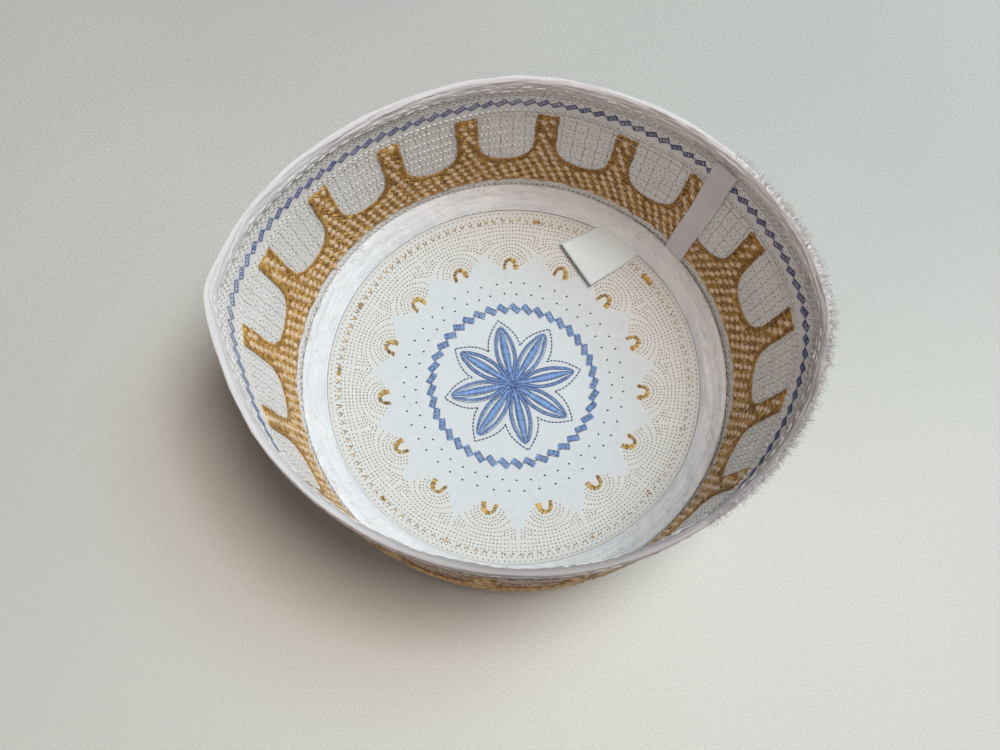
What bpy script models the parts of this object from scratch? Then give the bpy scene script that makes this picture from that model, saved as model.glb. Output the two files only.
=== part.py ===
"""An embroidered prayer cap, lying upside down on its crown with the mouth up.

The row frame has its origin at the middle of the crown's outer face, on the table, +Z up through the mouth,
and X along the mouth's longer way. Sizes are in millimetres until a mesh is made.
"""

import math

import bpy
import numpy as np

metres = 0.001

# Crown
seam_radius = 83.9
crown_lift = 16.1
crown_flat_radius = 18.0
crown_thickness = 1.4
crown_sides = 60
crown_rings = (0.0, 18.0, 30.0, 42.0, 54.0, 66.0, 76.0, 83.9)

# Band, measured up the cloth from the seam as a share of its slant height
band_slant = 73.3
band_foot = 0.0215
band_top = 0.9865
pillar_top = 0.712
panel_low = 0.302
panel_shoulder = 0.47
panel_roundness = 2.2
relief_step = 0.008
hem_start = 0.925
dip_start = 0.872
dip_end = 0.912

# Band, measured inwards from the cap's outline
gold_outer = 0.0
panel_outer = 0.3
panel_inner = 1.5
gold_inner = 1.8
under_hem_outer = 0.78
under_hem_inner = 1.72

# Arcade: shares of one arch, from the middle of a pillar to the middle of the next
arches = 18
first_pillar = 0.22
half_pillar = 0.137
arch_columns = (0.0, 0.137, 0.147, 0.22, 0.33, 0.5, 0.67, 0.78, 0.853, 0.863)

# Join of the band, where the round of the cloth starts
join_angle_seam = 37.8
join_angle_rim = 35.0

# Hem folded over the rim
hem_thickness = 0.5
hem_depth = 2.5
hem_columns = (0.0, 0.147, 0.33, 0.5, 0.67, 0.853)

# Seam roll inside
roll_radius = 79.0
roll_gap = 0.3
roll_sides = 72

# Join tape
tape_width = 9.3
tape_low = 0.062
tape_high = 0.918
tape_back = 2.1
tape_thickness = 0.7

# Label: its outer edge lies along the seam roll, its inner corners are free
label_edge_radius = 74.7
label_edge_angles = (61.2, 45.2)
label_free_left = (19.9, 59.3)
label_free_right = (32.1, 41.3)
label_thickness = 0.5
label_gap = 0.35
label_rise = 2.0

# The rim seen from above: angle in degrees from +X, radius
rim_rows = (
    (0, 99.6),
    (15, 97.3),
    (30, 92.9),
    (45, 89.4),
    (60, 86.5),
    (75, 85.1),
    (90, 84.7),
    (105, 84.2),
    (120, 85.0),
    (135, 87.8),
    (150, 91.9),
    (165, 96.4),
    (180, 97.5),
    (195, 94.1),
    (210, 91.3),
    (225, 88.6),
    (240, 86.9),
    (255, 86.1),
    (270, 86.2),
    (285, 87.4),
    (300, 89.2),
    (315, 92.0),
    (330, 95.5),
    (345, 98.5),
)

# Folds that stand out near the rim: angle in degrees, reach, half width in degrees
fold_rows = (
    (177.5, 3.6, 8.0),
    (-3.0, 1.4, 7.0),
)
fold_softness = 2.5
fold_power = 3.0

# Slow waves of the band's wall: waves a turn, size, start in degrees
wave_rows = (
    (5, 0.5, 40.0),
    (8, 0.25, 110.0),
)

# Cross-section of the seam roll: across it (outwards), height over the crown
roll_profile = (
    (-2.7, 0.0),
    (2.5, 0.0),
    (2.7, 1.6),
    (1.7, 2.9),
    (0.3, 2.3),
    (-1.0, 2.7),
    (-2.3, 1.9),
    (-3.0, 0.7),
)

# Cross-section of the hem: share of the slant height, depth inwards from the outline
hem_profile = (
    (hem_start, 0.0),
    (0.984, 0.0),
    (0.9975, 0.55),
    (1.0, 1.25),
    (0.9975, 1.95),
    (0.984, hem_depth),
    (hem_start, hem_depth),
    (hem_start, hem_depth - hem_thickness),
    (0.9885, hem_depth - hem_thickness),
    (0.9915, 1.25),
    (0.9885, hem_thickness),
    (hem_start, hem_thickness),
)


def rim_table_radius(angles):
    """A smooth closed curve through the rows of rim_rows."""
    known = np.array([row[0] for row in rim_rows], float)
    radii = np.array([row[1] for row in rim_rows], float)
    pitch = known[1] - known[0]
    slopes = (np.roll(radii, -1) - np.roll(radii, 1)) / 2
    place = np.mod(angles, 360.0) / pitch
    left = np.floor(place).astype(int) % len(radii)
    right = (left + 1) % len(radii)
    t = place - np.floor(place)
    h_left = 2 * t**3 - 3 * t**2 + 1
    h_right = 3 * t**2 - 2 * t**3
    s_left = t**3 - 2 * t**2 + t
    s_right = t**3 - t**2
    return h_left * radii[left] + s_left * slopes[left] + h_right * radii[right] + s_right * slopes[right]


def fold_reach(angles):
    """How far the folds stand out at the rim."""
    total = np.zeros_like(angles)
    for middle, reach, half_width in fold_rows:
        away = np.mod(angles - middle + 180.0, 360.0) - 180.0
        soft = np.sqrt(away**2 + fold_softness**2) - fold_softness
        total = total + reach * np.exp(-soft / half_width)
    return total


def rim_angle_map():
    """Angles at the rim for equal steps of length along it, starting at the join."""
    angles = np.linspace(join_angle_rim, join_angle_rim + 360.0, 1441)
    radii = rim_table_radius(angles) + fold_reach(angles)
    x = radii * np.cos(np.radians(angles))
    y = radii * np.sin(np.radians(angles))
    steps = np.hypot(np.diff(x), np.diff(y))
    share = np.concatenate([[0.0], np.cumsum(steps)])
    return share / share[-1], angles


rim_shares, rim_angles = rim_angle_map()


def outline_point(turn, height):
    """The cap's outer surface. turn runs from 0 to 1 round the cap from the join, height from seam to rim."""
    whole = np.floor(turn)
    rim_angle = np.interp(turn - whole, rim_shares, rim_angles) + 360.0 * whole
    seam_angle = join_angle_seam + 360.0 * turn
    table = rim_table_radius(rim_angle)
    fold = fold_reach(rim_angle)
    rim_z = np.sqrt(band_slant**2 - (table + 0.5 * fold - seam_radius) ** 2)
    rim_way = np.radians(rim_angle)
    seam_way = np.radians(seam_angle)
    wave = np.zeros_like(turn * height)
    for count, size, start in wave_rows:
        wave = wave + size * np.sin(np.radians(count * seam_angle + start))
    wave = wave * np.sin(math.pi * np.clip(height, 0.0, 1.0))
    radial = fold * np.clip(height, 0.0, 1.2) ** fold_power + wave
    x = seam_radius * np.cos(seam_way) * (1 - height) + (table * height + radial) * np.cos(rim_way)
    y = seam_radius * np.sin(seam_way) * (1 - height) + (table * height + radial) * np.sin(rim_way)
    z = crown_lift + rim_z * height
    return np.stack(np.broadcast_arrays(x, y, z), -1)


def wall_point(turn, height, depth):
    """A point at a depth inwards from the cap's outer surface."""
    turn, height, depth = np.broadcast_arrays(
        np.asarray(turn, float), np.asarray(height, float), np.asarray(depth, float)
    )
    small = 0.002
    along = outline_point(turn + small, height) - outline_point(turn - small, height)
    upward = outline_point(turn, height + small) - outline_point(turn, height - small)
    outward = np.cross(along, upward)
    outward = outward / np.linalg.norm(outward, axis=-1, keepdims=True)
    return outline_point(turn, height) - depth[..., None] * outward


def crown_height(radius):
    """Height of the crown's outer face above the table."""
    share = np.clip((radius - crown_flat_radius) / (seam_radius - crown_flat_radius), 0.0, None)
    return crown_lift * share**2


def crown_slope(radius):
    """Slope angle of the crown's outer face, in radians."""
    share = np.clip((radius - crown_flat_radius) / (seam_radius - crown_flat_radius), 0.0, None)
    return np.arctan(2 * crown_lift * share / (seam_radius - crown_flat_radius))


def signed_volume(points, faces):
    """Positive when the faces of a closed mesh look outwards."""
    total = 0.0
    for face in faces:
        first = points[face[0]]
        for second, third in zip(face[1:-1], face[2:]):
            total += float(np.dot(first, np.cross(points[second], points[third])))
    return total


def add_solid(name, points, faces, colour, roughness):
    """One closed mesh object, faces outwards, with its own material."""
    points = np.asarray(points, float)
    if signed_volume(points, faces) < 0:
        faces = [tuple(reversed(face)) for face in faces]
    mesh = bpy.data.meshes.new(name)
    mesh.from_pydata([tuple(p) for p in points * metres], [], faces)
    mesh.validate()
    solid = bpy.data.objects.new(name, mesh)
    bpy.context.scene.collection.objects.link(solid)
    material = bpy.data.materials.new(name)
    material.use_nodes = True
    shader = material.node_tree.nodes["Principled BSDF"]
    shader.inputs["Base Color"].default_value = (*colour, 1.0)
    shader.inputs["Roughness"].default_value = roughness
    mesh.materials.append(material)
    return solid


def ring_faces(loops, columns):
    """Quads of a closed ring whose cross-section is itself closed."""
    faces = []
    for i in range(loops):
        above = (i + 1) % loops
        for j in range(columns):
            beside = (j + 1) % columns
            faces.append((i * columns + j, i * columns + beside, above * columns + beside, above * columns + j))
    return faces


def slab_faces(rows, columns):
    """Quads of a thin closed slab: a front grid, a back grid after it, and the four edges."""
    faces = []
    back = rows * columns
    for i in range(rows - 1):
        for j in range(columns - 1):
            a = i * columns + j
            b = a + columns
            faces.append((a, a + 1, b + 1, b))
            faces.append((back + a, back + b, back + b + 1, back + a + 1))
    border = [j for j in range(columns)]
    border += [i * columns + columns - 1 for i in range(1, rows)]
    border += [(rows - 1) * columns + j for j in range(columns - 2, -1, -1)]
    border += [i * columns for i in range(rows - 2, 0, -1)]
    for here, there in zip(border, border[1:] + border[:1]):
        faces.append((there, here, back + here, back + there))
    return faces


def make_crown():
    angles = np.radians(np.arange(crown_sides) * 360.0 / crown_sides)
    points = []
    faces = []
    for side in (0, 1):
        start = len(points)
        for radius in crown_rings[1:]:
            slope = crown_slope(radius)
            flat = radius - side * crown_thickness * math.sin(slope) * (radius < seam_radius)
            z = crown_height(radius) + side * crown_thickness * math.cos(slope)
            for angle in angles:
                points.append((flat * math.cos(angle), flat * math.sin(angle), z))
        middle = tuple(start + j for j in range(crown_sides))
        faces.append(middle if side else tuple(reversed(middle)))
        for i in range(len(crown_rings) - 2):
            for j in range(crown_sides):
                a = start + i * crown_sides + j
                b = start + i * crown_sides + (j + 1) % crown_sides
                quad = (a, a + crown_sides, b + crown_sides, b)
                faces.append(quad if side else tuple(reversed(quad)))
    edge = (len(crown_rings) - 2) * crown_sides
    other = edge + len(points) // 2
    for j in range(crown_sides):
        beside = (j + 1) % crown_sides
        faces.append((edge + j, edge + beside, other + beside, other + j))
    return add_solid("crown_top", points, faces, (0.86, 0.88, 0.92), 0.85)


def panel_bottom(share):
    """Height of a panel's rounded lower edge at a share of the arch."""
    away = np.abs(share - 0.5) / (0.5 - half_pillar - relief_step)
    away = np.clip(away, 0.0, 1.0)
    round_part = 1 - (1 - away**panel_roundness) ** (1 / panel_roundness)
    return panel_low + (panel_shoulder - panel_low) * round_part


def make_band():
    shares = np.tile(np.array(arch_columns), arches)
    pillars = np.repeat(np.arange(arches), len(arch_columns))
    turn = (pillars + first_pillar + shares) / arches
    in_panel = (shares > half_pillar + relief_step / 2) & (shares < 1 - half_pillar - relief_step / 2)
    low = panel_bottom(shares)
    level = np.ones_like(shares)
    rows = (
        (band_foot * level, False),
        (low, False),
        (low + relief_step, True),
        ((pillar_top - relief_step) * level, True),
        (pillar_top * level, None),
        (dip_start * level, None),
    )
    loops = []
    for plain, raised in ((panel_outer, gold_outer), (panel_inner, gold_inner)):
        face = []
        for heights, recessed in rows:
            if recessed is None:
                depths = plain * level
            elif recessed:
                depths = np.where(in_panel, plain, raised)
            else:
                depths = raised * level
            face.append(wall_point(turn, heights, depths))
        hidden = under_hem_outer if plain == panel_outer else under_hem_inner
        face.append(wall_point(turn, dip_end * level, hidden * level))
        face.append(wall_point(turn, band_top * level, hidden * level))
        loops.append(face)
    profile = loops[0] + loops[1][::-1]
    points = np.concatenate(profile)
    faces = ring_faces(len(profile), len(turn))
    return add_solid("side_band", points, faces, (0.80, 0.62, 0.38), 0.75)


def make_hem():
    shares = np.tile(np.array(hem_columns), arches)
    pillars = np.repeat(np.arange(arches), len(hem_columns))
    turn = (pillars + first_pillar + shares) / arches
    profile = [wall_point(turn, height, depth) for height, depth in hem_profile]
    points = np.concatenate(profile)
    faces = ring_faces(len(profile), len(turn))
    return add_solid("rim_hem", points, faces, (0.88, 0.87, 0.90), 0.85)


def make_roll():
    angles = np.radians(np.arange(roll_sides) * 360.0 / roll_sides)
    slope = crown_slope(roll_radius)
    base_radius = roll_radius - crown_thickness * math.sin(slope)
    base_z = crown_height(roll_radius) + crown_thickness * math.cos(slope)
    loops = []
    for across, height in roll_profile:
        over = height + roll_gap + across**2 * 0.006
        radius = base_radius + across * math.cos(slope) - over * math.sin(slope)
        z = base_z + across * math.sin(slope) + over * math.cos(slope)
        loops.append(np.stack([radius * np.cos(angles), radius * np.sin(angles), z + 0 * angles], -1))
    points = np.concatenate(loops)
    faces = ring_faces(len(loops), roll_sides)
    return add_solid("crown_seam_roll", points, faces, (0.88, 0.89, 0.92), 0.9)


def make_tape():
    half = tape_width / 2 / (2 * math.pi * seam_radius)
    turn = np.linspace(-half, half, 4)[None, :]
    height = np.linspace(tape_low, tape_high, 9)[:, None]
    front = wall_point(turn, height, tape_back + tape_thickness)
    back = wall_point(turn, height, tape_back)
    points = np.concatenate([front.reshape(-1, 3), back.reshape(-1, 3)])
    faces = slab_faces(9, 4)
    return add_solid("join_tape", points, faces, (0.86, 0.85, 0.88), 0.8)


def make_label():
    rows = 5
    columns = 5
    front = []
    back = []
    for i in range(rows):
        inward = i / (rows - 1)
        for j in range(columns):
            across = j / (columns - 1)
            angle = label_edge_angles[0] + (label_edge_angles[1] - label_edge_angles[0]) * across
            edge_x = label_edge_radius * math.cos(math.radians(angle))
            edge_y = label_edge_radius * math.sin(math.radians(angle))
            free_x = label_free_left[0] + (label_free_right[0] - label_free_left[0]) * across
            free_y = label_free_left[1] + (label_free_right[1] - label_free_left[1]) * across
            x = edge_x + (free_x - edge_x) * inward
            y = edge_y + (free_y - edge_y) * inward
            radius = math.hypot(x, y)
            upright = crown_thickness / math.cos(crown_slope(radius))
            z = crown_height(radius) + upright + label_gap + label_rise * inward**2
            front.append((x, y, z + label_thickness))
            back.append((x, y, z))
    faces = slab_faces(rows, columns)
    return add_solid("size_label", front + back, faces, (0.92, 0.92, 0.91), 0.4)


for old in list(bpy.data.objects):
    bpy.data.objects.remove(old, do_unlink=True)

make_crown()
make_band()
make_hem()
make_roll()
make_tape()
make_label()
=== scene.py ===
import math

import bmesh
import bpy
import numpy as np
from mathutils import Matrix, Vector


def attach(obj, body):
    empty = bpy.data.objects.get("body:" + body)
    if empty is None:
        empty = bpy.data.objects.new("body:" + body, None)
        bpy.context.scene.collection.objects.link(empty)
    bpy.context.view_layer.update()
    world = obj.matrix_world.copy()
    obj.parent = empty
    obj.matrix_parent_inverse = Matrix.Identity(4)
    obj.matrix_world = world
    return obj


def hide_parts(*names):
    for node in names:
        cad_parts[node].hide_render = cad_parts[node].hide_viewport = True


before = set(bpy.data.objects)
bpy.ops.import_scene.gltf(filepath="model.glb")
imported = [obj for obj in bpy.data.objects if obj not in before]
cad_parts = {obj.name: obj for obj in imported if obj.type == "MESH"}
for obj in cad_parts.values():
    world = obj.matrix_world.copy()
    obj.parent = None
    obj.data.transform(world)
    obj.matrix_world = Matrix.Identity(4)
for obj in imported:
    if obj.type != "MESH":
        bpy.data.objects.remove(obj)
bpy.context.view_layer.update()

mm = 0.001
print("cap: frame loaded")

# Camera, floor and light
studio = {
    "cameraPlace": (-0.00549, -0.11522, 0.35887),
    "cameraTilt": 18.504,                 # degrees off straight down
    "lens": 33.12,
    "sensorWidth": 36.0,
    "nearClip": 0.01,
    "floorSize": 5.0,
    "floorDrop": 0.0004,                  # just under the crown's stitches
    "skyColour": (1.0, 0.96, 0.92),
    "skyStrength": 0.032,
    "lampAim": (0, 0, 0.03),
    "lamps": (                            # name, place, size, power, colour
        ("ceilingLight", (0.388, 0.0, 1.449), 0.6, 15.7, (1.0, 0.88, 0.79)),
        ("windowLight", (0.638, 0.298, 1.324), 0.7, 9.0, (0.55, 0.86, 1.0)),
        ("wallBounce", (-0.9, -0.8, 0.6), 1.0, 3.2, (1.0, 0.82, 0.74)),
    ),
}


def deselectAll():
    if bpy.context.object and bpy.context.object.mode != "OBJECT":
        bpy.ops.object.mode_set(mode="OBJECT")
    bpy.ops.object.select_all(action="DESELECT")


def addSoftLight(name, place, size, power, colour):
    bpy.ops.object.light_add(type="AREA", location=place)
    lamp = bpy.context.object
    lamp.name = name
    lamp.data.shape = "DISK"
    lamp.data.size = size
    lamp.data.energy = power
    lamp.data.color = colour
    lamp.rotation_euler = (Vector(studio["lampAim"]) - Vector(place)).to_track_quat("-Z", "Y").to_euler()


def setUpStudio():
    deselectAll()
    tilt = math.radians(studio["cameraTilt"])
    bpy.ops.object.camera_add(location=studio["cameraPlace"], rotation=(tilt, 0, 0))
    camera = bpy.context.object
    camera.data.lens = studio["lens"]
    camera.data.sensor_width = studio["sensorWidth"]
    camera.data.clip_start = studio["nearClip"]
    bpy.context.scene.camera = camera
    for lamp in studio["lamps"]:
        addSoftLight(*lamp)
    sky = bpy.data.worlds.new("paleRoom")
    sky.use_nodes = True
    background = sky.node_tree.nodes["Background"]
    background.inputs["Color"].default_value = (*studio["skyColour"], 1)
    background.inputs["Strength"].default_value = studio["skyStrength"]
    bpy.context.scene.world = sky
    bpy.context.scene.view_settings.view_transform = "Standard"
    bpy.context.scene.view_settings.look = "None"


setUpStudio()
print("cap: camera and lights are up")


# A socket that takes arithmetic, so that shader maths reads as maths
class Feed:
    def __init__(self, finish, socket):
        self.finish = finish
        self.socket = socket

    def __add__(self, other):
        return self.finish.maths("ADD", self, other)

    def __sub__(self, other):
        return self.finish.maths("SUBTRACT", self, other)

    def __rsub__(self, other):
        return self.finish.maths("SUBTRACT", other, self)

    def __mul__(self, other):
        return self.finish.maths("MULTIPLY", self, other)

    __radd__ = __add__
    __rmul__ = __mul__


class Finish:
    def __init__(self, name, **constants):
        self.material = bpy.data.materials.new(name)
        self.material.use_nodes = True
        self.tree = self.material.node_tree
        self.shader = self.tree.nodes["Principled BSDF"]
        for key, value in constants.items():
            self.plug(self.shader.inputs[key.replace("_", " ")], value)

    def plug(self, socket, value):
        if isinstance(value, Feed):
            self.tree.links.new(value.socket, socket)
        elif socket.type == "RGBA" and len(value) == 3:
            socket.default_value = (*value, 1.0)
        else:
            socket.default_value = value

    def node(self, kind, settings=None, sockets=None, output=0):
        made = self.tree.nodes.new(kind)
        for key, value in (settings or {}).items():
            if key == "stops":
                for element, (position, colour) in zip(made.color_ramp.elements, value):
                    element.position = position
                    element.color = (*colour, 1.0)
            else:
                setattr(made, key, value)
        for key, value in (sockets or {}).items():
            self.plug(made.inputs[key], value)
        return Feed(self, made.outputs[output])

    def maths(self, operation, first, second):
        return self.node("ShaderNodeMath", {"operation": operation}, {0: first, 1: second})

    def smooth(self, value, low, high):
        return self.node("ShaderNodeMapRange", {"interpolation_type": "SMOOTHSTEP"},
                         {"Value": value, "From Min": low, "From Max": high})

    def mixed(self, mask, first, second):
        return self.node("ShaderNodeMix", {"data_type": "RGBA"}, {0: mask, 6: first, 7: second}, 2)

    def place(self):
        return self.node("ShaderNodeTexCoord", output="Object")

    def painted(self, name):
        return self.node("ShaderNodeAttribute", {"attribute_name": name}, output="Fac")

    def chart(self):
        return self.node("ShaderNodeUVMap", {"uv_map": "weave"})

    def turned(self, place, turn):
        return self.node("ShaderNodeMapping", None, {"Vector": place, "Rotation": (0, 0, turn)})

    def noise(self, place, scale, detail=2.0, roughness=0.5):
        return self.node("ShaderNodeTexNoise", None,
                         {"Vector": place, "Scale": scale, "Detail": detail, "Roughness": roughness})

    def ribs(self, place, scale, direction="X", distortion=0.0):
        return self.node("ShaderNodeTexWave", {"bands_direction": direction, "wave_profile": "SIN"},
                         {"Vector": place, "Scale": scale, "Distortion": distortion, "Detail": 1.0}, 1)

    def bump(self, height, distance, strength=1.0):
        made = self.node("ShaderNodeBump", None,
                         {"Height": height, "Distance": distance, "Strength": strength})
        self.plug(self.shader.inputs["Normal"], made)

    def colour(self, value):
        self.plug(self.shader.inputs["Base Color"], value)

    def rough(self, value):
        self.plug(self.shader.inputs["Roughness"], value)


# The cap's form, in the same words as its solids
cap = {
    "seamRadius": 83.9 * mm,
    "crownLift": 16.1 * mm,
    "crownFlat": 18.0 * mm,
    "crownThickness": 1.4 * mm,
    "bandSlant": 73.3 * mm,
    "seamJoinAngle": 37.8,
    "rimJoinAngle": 35.0,
    "panelOuter": 0.3 * mm,               # depths inwards from the outline
    "panelInner": 1.5 * mm,
    "arches": 18,
    "firstPillar": 0.22,
    "halfPillar": 0.137,
    "pillarTop": 0.712,
    "panelLow": 0.312,                    # 0.302 in the solids
    "goldFoot": 0.105,
    "footWobble": 0.004,
    "panelShoulder": 0.47,
    "panelRoundness": 2.2,
    "girth": 560 * mm,
}
rimRadii = [99.6, 97.3, 92.9, 89.4, 86.5, 85.1, 84.7, 84.2, 85.0, 87.8, 91.9, 96.4,
            97.5, 94.1, 91.3, 88.6, 86.9, 86.1, 86.2, 87.4, 89.2, 92.0, 95.5, 98.5]   # every 15 degrees
rimFolds = [(177.5, 3.6, 8.0), (-3.0, 1.4, 7.0)]    # degrees, reach, half width in degrees
wallWaves = [(5, 0.5, 40.0), (8, 0.25, 110.0)]      # waves a turn, size, start in degrees


def rimRadius(angle):
    radii = np.array(rimRadii)
    slopes = (np.roll(radii, -1) - np.roll(radii, 1)) / 2
    spot = np.mod(angle, 360.0) / 15.0
    left = np.floor(spot).astype(int) % 24
    right = (left + 1) % 24
    t = spot - np.floor(spot)
    return ((2 * t**3 - 3 * t**2 + 1) * radii[left] + (t**3 - 2 * t**2 + t) * slopes[left]
            + (3 * t**2 - 2 * t**3) * radii[right] + (t**3 - t**2) * slopes[right])


def foldReach(angle):
    total = np.zeros_like(angle)
    for middle, reach, halfWidth in rimFolds:
        away = np.mod(angle - middle + 180.0, 360.0) - 180.0
        total = total + reach * np.exp(-(np.sqrt(away**2 + 2.5**2) - 2.5) / halfWidth)
    return total


# How far each point of a line is from its start, along the line
def runAlong(x, y):
    return np.concatenate([[0.0], np.cumsum(np.hypot(np.diff(x), np.diff(y)))])


def chartRim():
    angles = np.linspace(cap["rimJoinAngle"], cap["rimJoinAngle"] + 360.0, 1441)
    radii = rimRadius(angles) + foldReach(angles)
    way = np.radians(angles)
    share = runAlong(radii * np.cos(way), radii * np.sin(way))
    return share / share[-1], angles


rimShares, rimAngles = chartRim()


# The outside of the wall: turn goes round from the join, height from the seam (0) to the rim (1)
def outlinePoint(turn, height):
    whole = np.floor(turn)
    rimAngle = np.interp(turn - whole, rimShares, rimAngles) + 360.0 * whole
    seamAngle = cap["seamJoinAngle"] + 360.0 * turn
    table, fold = rimRadius(rimAngle), foldReach(rimAngle)
    seamRadius = cap["seamRadius"] / mm
    rimRise = np.sqrt((cap["bandSlant"] / mm) ** 2 - (table + 0.5 * fold - seamRadius) ** 2)
    wave = sum(size * np.sin(np.radians(count * seamAngle + start)) for count, size, start in wallWaves)
    reach = fold * np.clip(height, 0.0, 1.2) ** 3 + wave * np.sin(math.pi * np.clip(height, 0.0, 1.0))
    rimWay, seamWay = np.radians(rimAngle), np.radians(seamAngle)
    x = seamRadius * np.cos(seamWay) * (1 - height) + (table * height + reach) * np.cos(rimWay)
    y = seamRadius * np.sin(seamWay) * (1 - height) + (table * height + reach) * np.sin(rimWay)
    z = cap["crownLift"] / mm + rimRise * height
    return np.stack(np.broadcast_arrays(x, y, z), -1) * mm


def unit(vectors):
    return vectors / np.linalg.norm(vectors, axis=-1, keepdims=True)


# A spot at a depth in from the outline, with its three ways: on round the cap, up the wall, and inwards
def wallFrame(turn, height, depth):
    turn, height, depth = np.broadcast_arrays(*(np.asarray(v, float) for v in (turn, height, depth)))
    small = 0.002
    onward = unit(outlinePoint(turn + small, height) - outlinePoint(turn - small, height))
    upward = unit(outlinePoint(turn, height + small) - outlinePoint(turn, height - small))
    inward = -unit(np.cross(onward, upward))
    return outlinePoint(turn, height) + depth[..., None] * inward, onward, upward, inward


def wallPoint(turn, height, depth):
    return wallFrame(turn, height, depth)[0]


# Slow ripples from a few waves in set directions, about as long as given and one unit high
def ripples(x, y, length, seed):
    dice = np.random.default_rng(seed)
    total = 0.0
    for _ in range(8):
        way, start = dice.uniform(0, 2 * math.pi, 2)
        each = length * dice.uniform(0.6, 1.8)
        total = total + np.sin((x * math.cos(way) + y * math.sin(way)) * 2 * math.pi / each + start)
    return total / 4.0


def roundRipples(turn, height, length, seed):
    way = 2 * math.pi * turn
    x = cap["seamRadius"] * np.cos(way)
    y = cap["seamRadius"] * np.sin(way) + 1.7 * height * cap["bandSlant"]
    return ripples(x, y, length, seed)


def archShare(turn):
    return np.mod(turn * cap["arches"] - cap["firstPillar"], 1.0)


# How deep each face of the band's cloth lies: a little full in the panels, creased, and thinned under the hem
bandCloth = {
    "columns": 432,
    "evenRows": 38,                       # from the foot up to evenTo, and then closer by the hem
    "foot": 0.0215,
    "evenTo": 0.862,
    "hemRows": (0.872, 0.884, 0.896, 0.908, 0.94, 0.9865),
    "dipStart": 0.872,
    "dipEnd": 0.908,
    "underHemOuter": 0.78 * mm,
    "underHemInner": 1.72 * mm,
    "fullness": 0.30 * mm,
    "crease": 0.14 * mm,
    "creaseLength": 32 * mm,
}


def clothDepth(turn, height, side):
    share = archShare(turn)
    across, up = np.clip((share - 0.14) / 0.72, 0, 1), np.clip((height - 0.33) / 0.4, 0, 1)
    full = np.sin(math.pi * across) * np.sin(math.pi * up)
    creases = roundRipples(turn, height, bandCloth["creaseLength"], 11)
    soft = bandCloth["fullness"] * full + bandCloth["crease"] * creases
    soft = soft * np.clip(height / 0.1, 0, 1)
    dip = np.clip((height - bandCloth["dipStart"]) / (bandCloth["dipEnd"] - bandCloth["dipStart"]), 0, 1)
    plain, hidden = ((cap["panelInner"], bandCloth["underHemInner"]) if side > 0
                     else (cap["panelOuter"], bandCloth["underHemOuter"]))
    return plain + soft * (1 - dip) + (hidden - plain) * dip


# A spot on the band's cloth, and how far off it. side is 1 on the inside face and -1 on the outside face.
def wallSpot(turn, height, side=1, lift=0.0):
    turn, height, lift = np.broadcast_arrays(*(np.asarray(v, float) for v in (turn, height, lift)))
    place, onward, upward, inward = wallFrame(turn, height, clothDepth(turn, height, side) + side * lift)
    return place, onward, upward, inward * side


def crownShare(radius):
    return np.clip((radius - cap["crownFlat"]) / (cap["seamRadius"] - cap["crownFlat"]), 0.0, None)


def crownHeight(radius):
    return cap["crownLift"] * crownShare(radius) ** 2


def crownSlope(radius):
    return np.arctan(2 * cap["crownLift"] * crownShare(radius) / (cap["seamRadius"] - cap["crownFlat"]))


# The crown's upper face is a little uneven, and puffed where the seam allowance begins
crownCloth = {
    "sides": 288,
    "rings": 66,
    "underRings": 26,
    "edgeRadius": 83.6 * mm,
    "uneven": 0.09 * mm,
    "unevenLength": 22 * mm,
    "fine": 0.06 * mm,
    "fineLength": 6 * mm,
    "fineFrom": 73 * mm,
    "puff": 0.3 * mm,
    "puffRadius": 75.6 * mm,
    "puffHalf": 1.3 * mm,
}


def crownPucker(x, y):
    radius = np.hypot(x, y)
    soft = crownCloth["uneven"] * ripples(x, y, crownCloth["unevenLength"], 3)
    soft = soft * np.clip(radius / (30 * mm), 0, 1)
    fine = crownCloth["fine"] * ripples(x, y, crownCloth["fineLength"], 4)
    fine = fine * np.clip((radius - crownCloth["fineFrom"]) / (2 * mm), 0, 1)
    away = (radius - crownCloth["puffRadius"]) / crownCloth["puffHalf"]
    return soft + fine + crownCloth["puff"] * np.exp(-(away ** 2))


# A spot on the crown from its plan place, with a plan direction laid on the cloth and the way out of it
def crownSpot(x, y, wayX, wayY, side=1, lift=0.0):
    x, y, wayX, wayY, lift = np.broadcast_arrays(*(np.asarray(v, float) for v in (x, y, wayX, wayY, lift)))
    radius = np.maximum(np.hypot(x, y), 1e-9)
    slope = crownSlope(radius)
    z = crownHeight(radius) + (cap["crownThickness"] / np.cos(slope) if side > 0 else 0.0)
    climb = np.tan(slope) * (wayX * x + wayY * y) / radius
    way = unit(np.stack([wayX, wayY, climb], -1))
    out = np.stack([-np.sin(slope) * x / radius, -np.sin(slope) * y / radius, np.cos(slope)], -1) * side
    lift = lift + (crownPucker(x, y) if side > 0 else 0.0)
    return np.stack([x, y, z], -1) + out * lift[..., None], way, out


def panelBottom(share):
    away = np.clip(np.abs(share - 0.5) / (0.5 - cap["halfPillar"] - 0.008), 0.0, 1.0)
    power = cap["panelRoundness"]
    return cap["panelLow"] + (cap["panelShoulder"] - cap["panelLow"]) * (1 - (1 - away**power) ** (1 / power))


def goldFoot(turn):
    slow = cap["footWobble"] * np.sin(2 * math.pi * (37 * turn + 0.2))
    return cap["goldFoot"] + slow + cap["footWobble"] * np.sin(2 * math.pi * (91 * turn + 0.6))


# Turns the faces of a closed skin of quads so that they point outwards
def facesOutward(points, faces):
    first = points[faces[:, 0]]
    volume = 0.0
    for b, c in ((1, 2), (2, 3)):
        volume += np.einsum("ij,ij->i", first, np.cross(points[faces[:, b]], points[faces[:, c]])).sum()
    return faces if volume > 0 else faces[:, ::-1]


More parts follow.
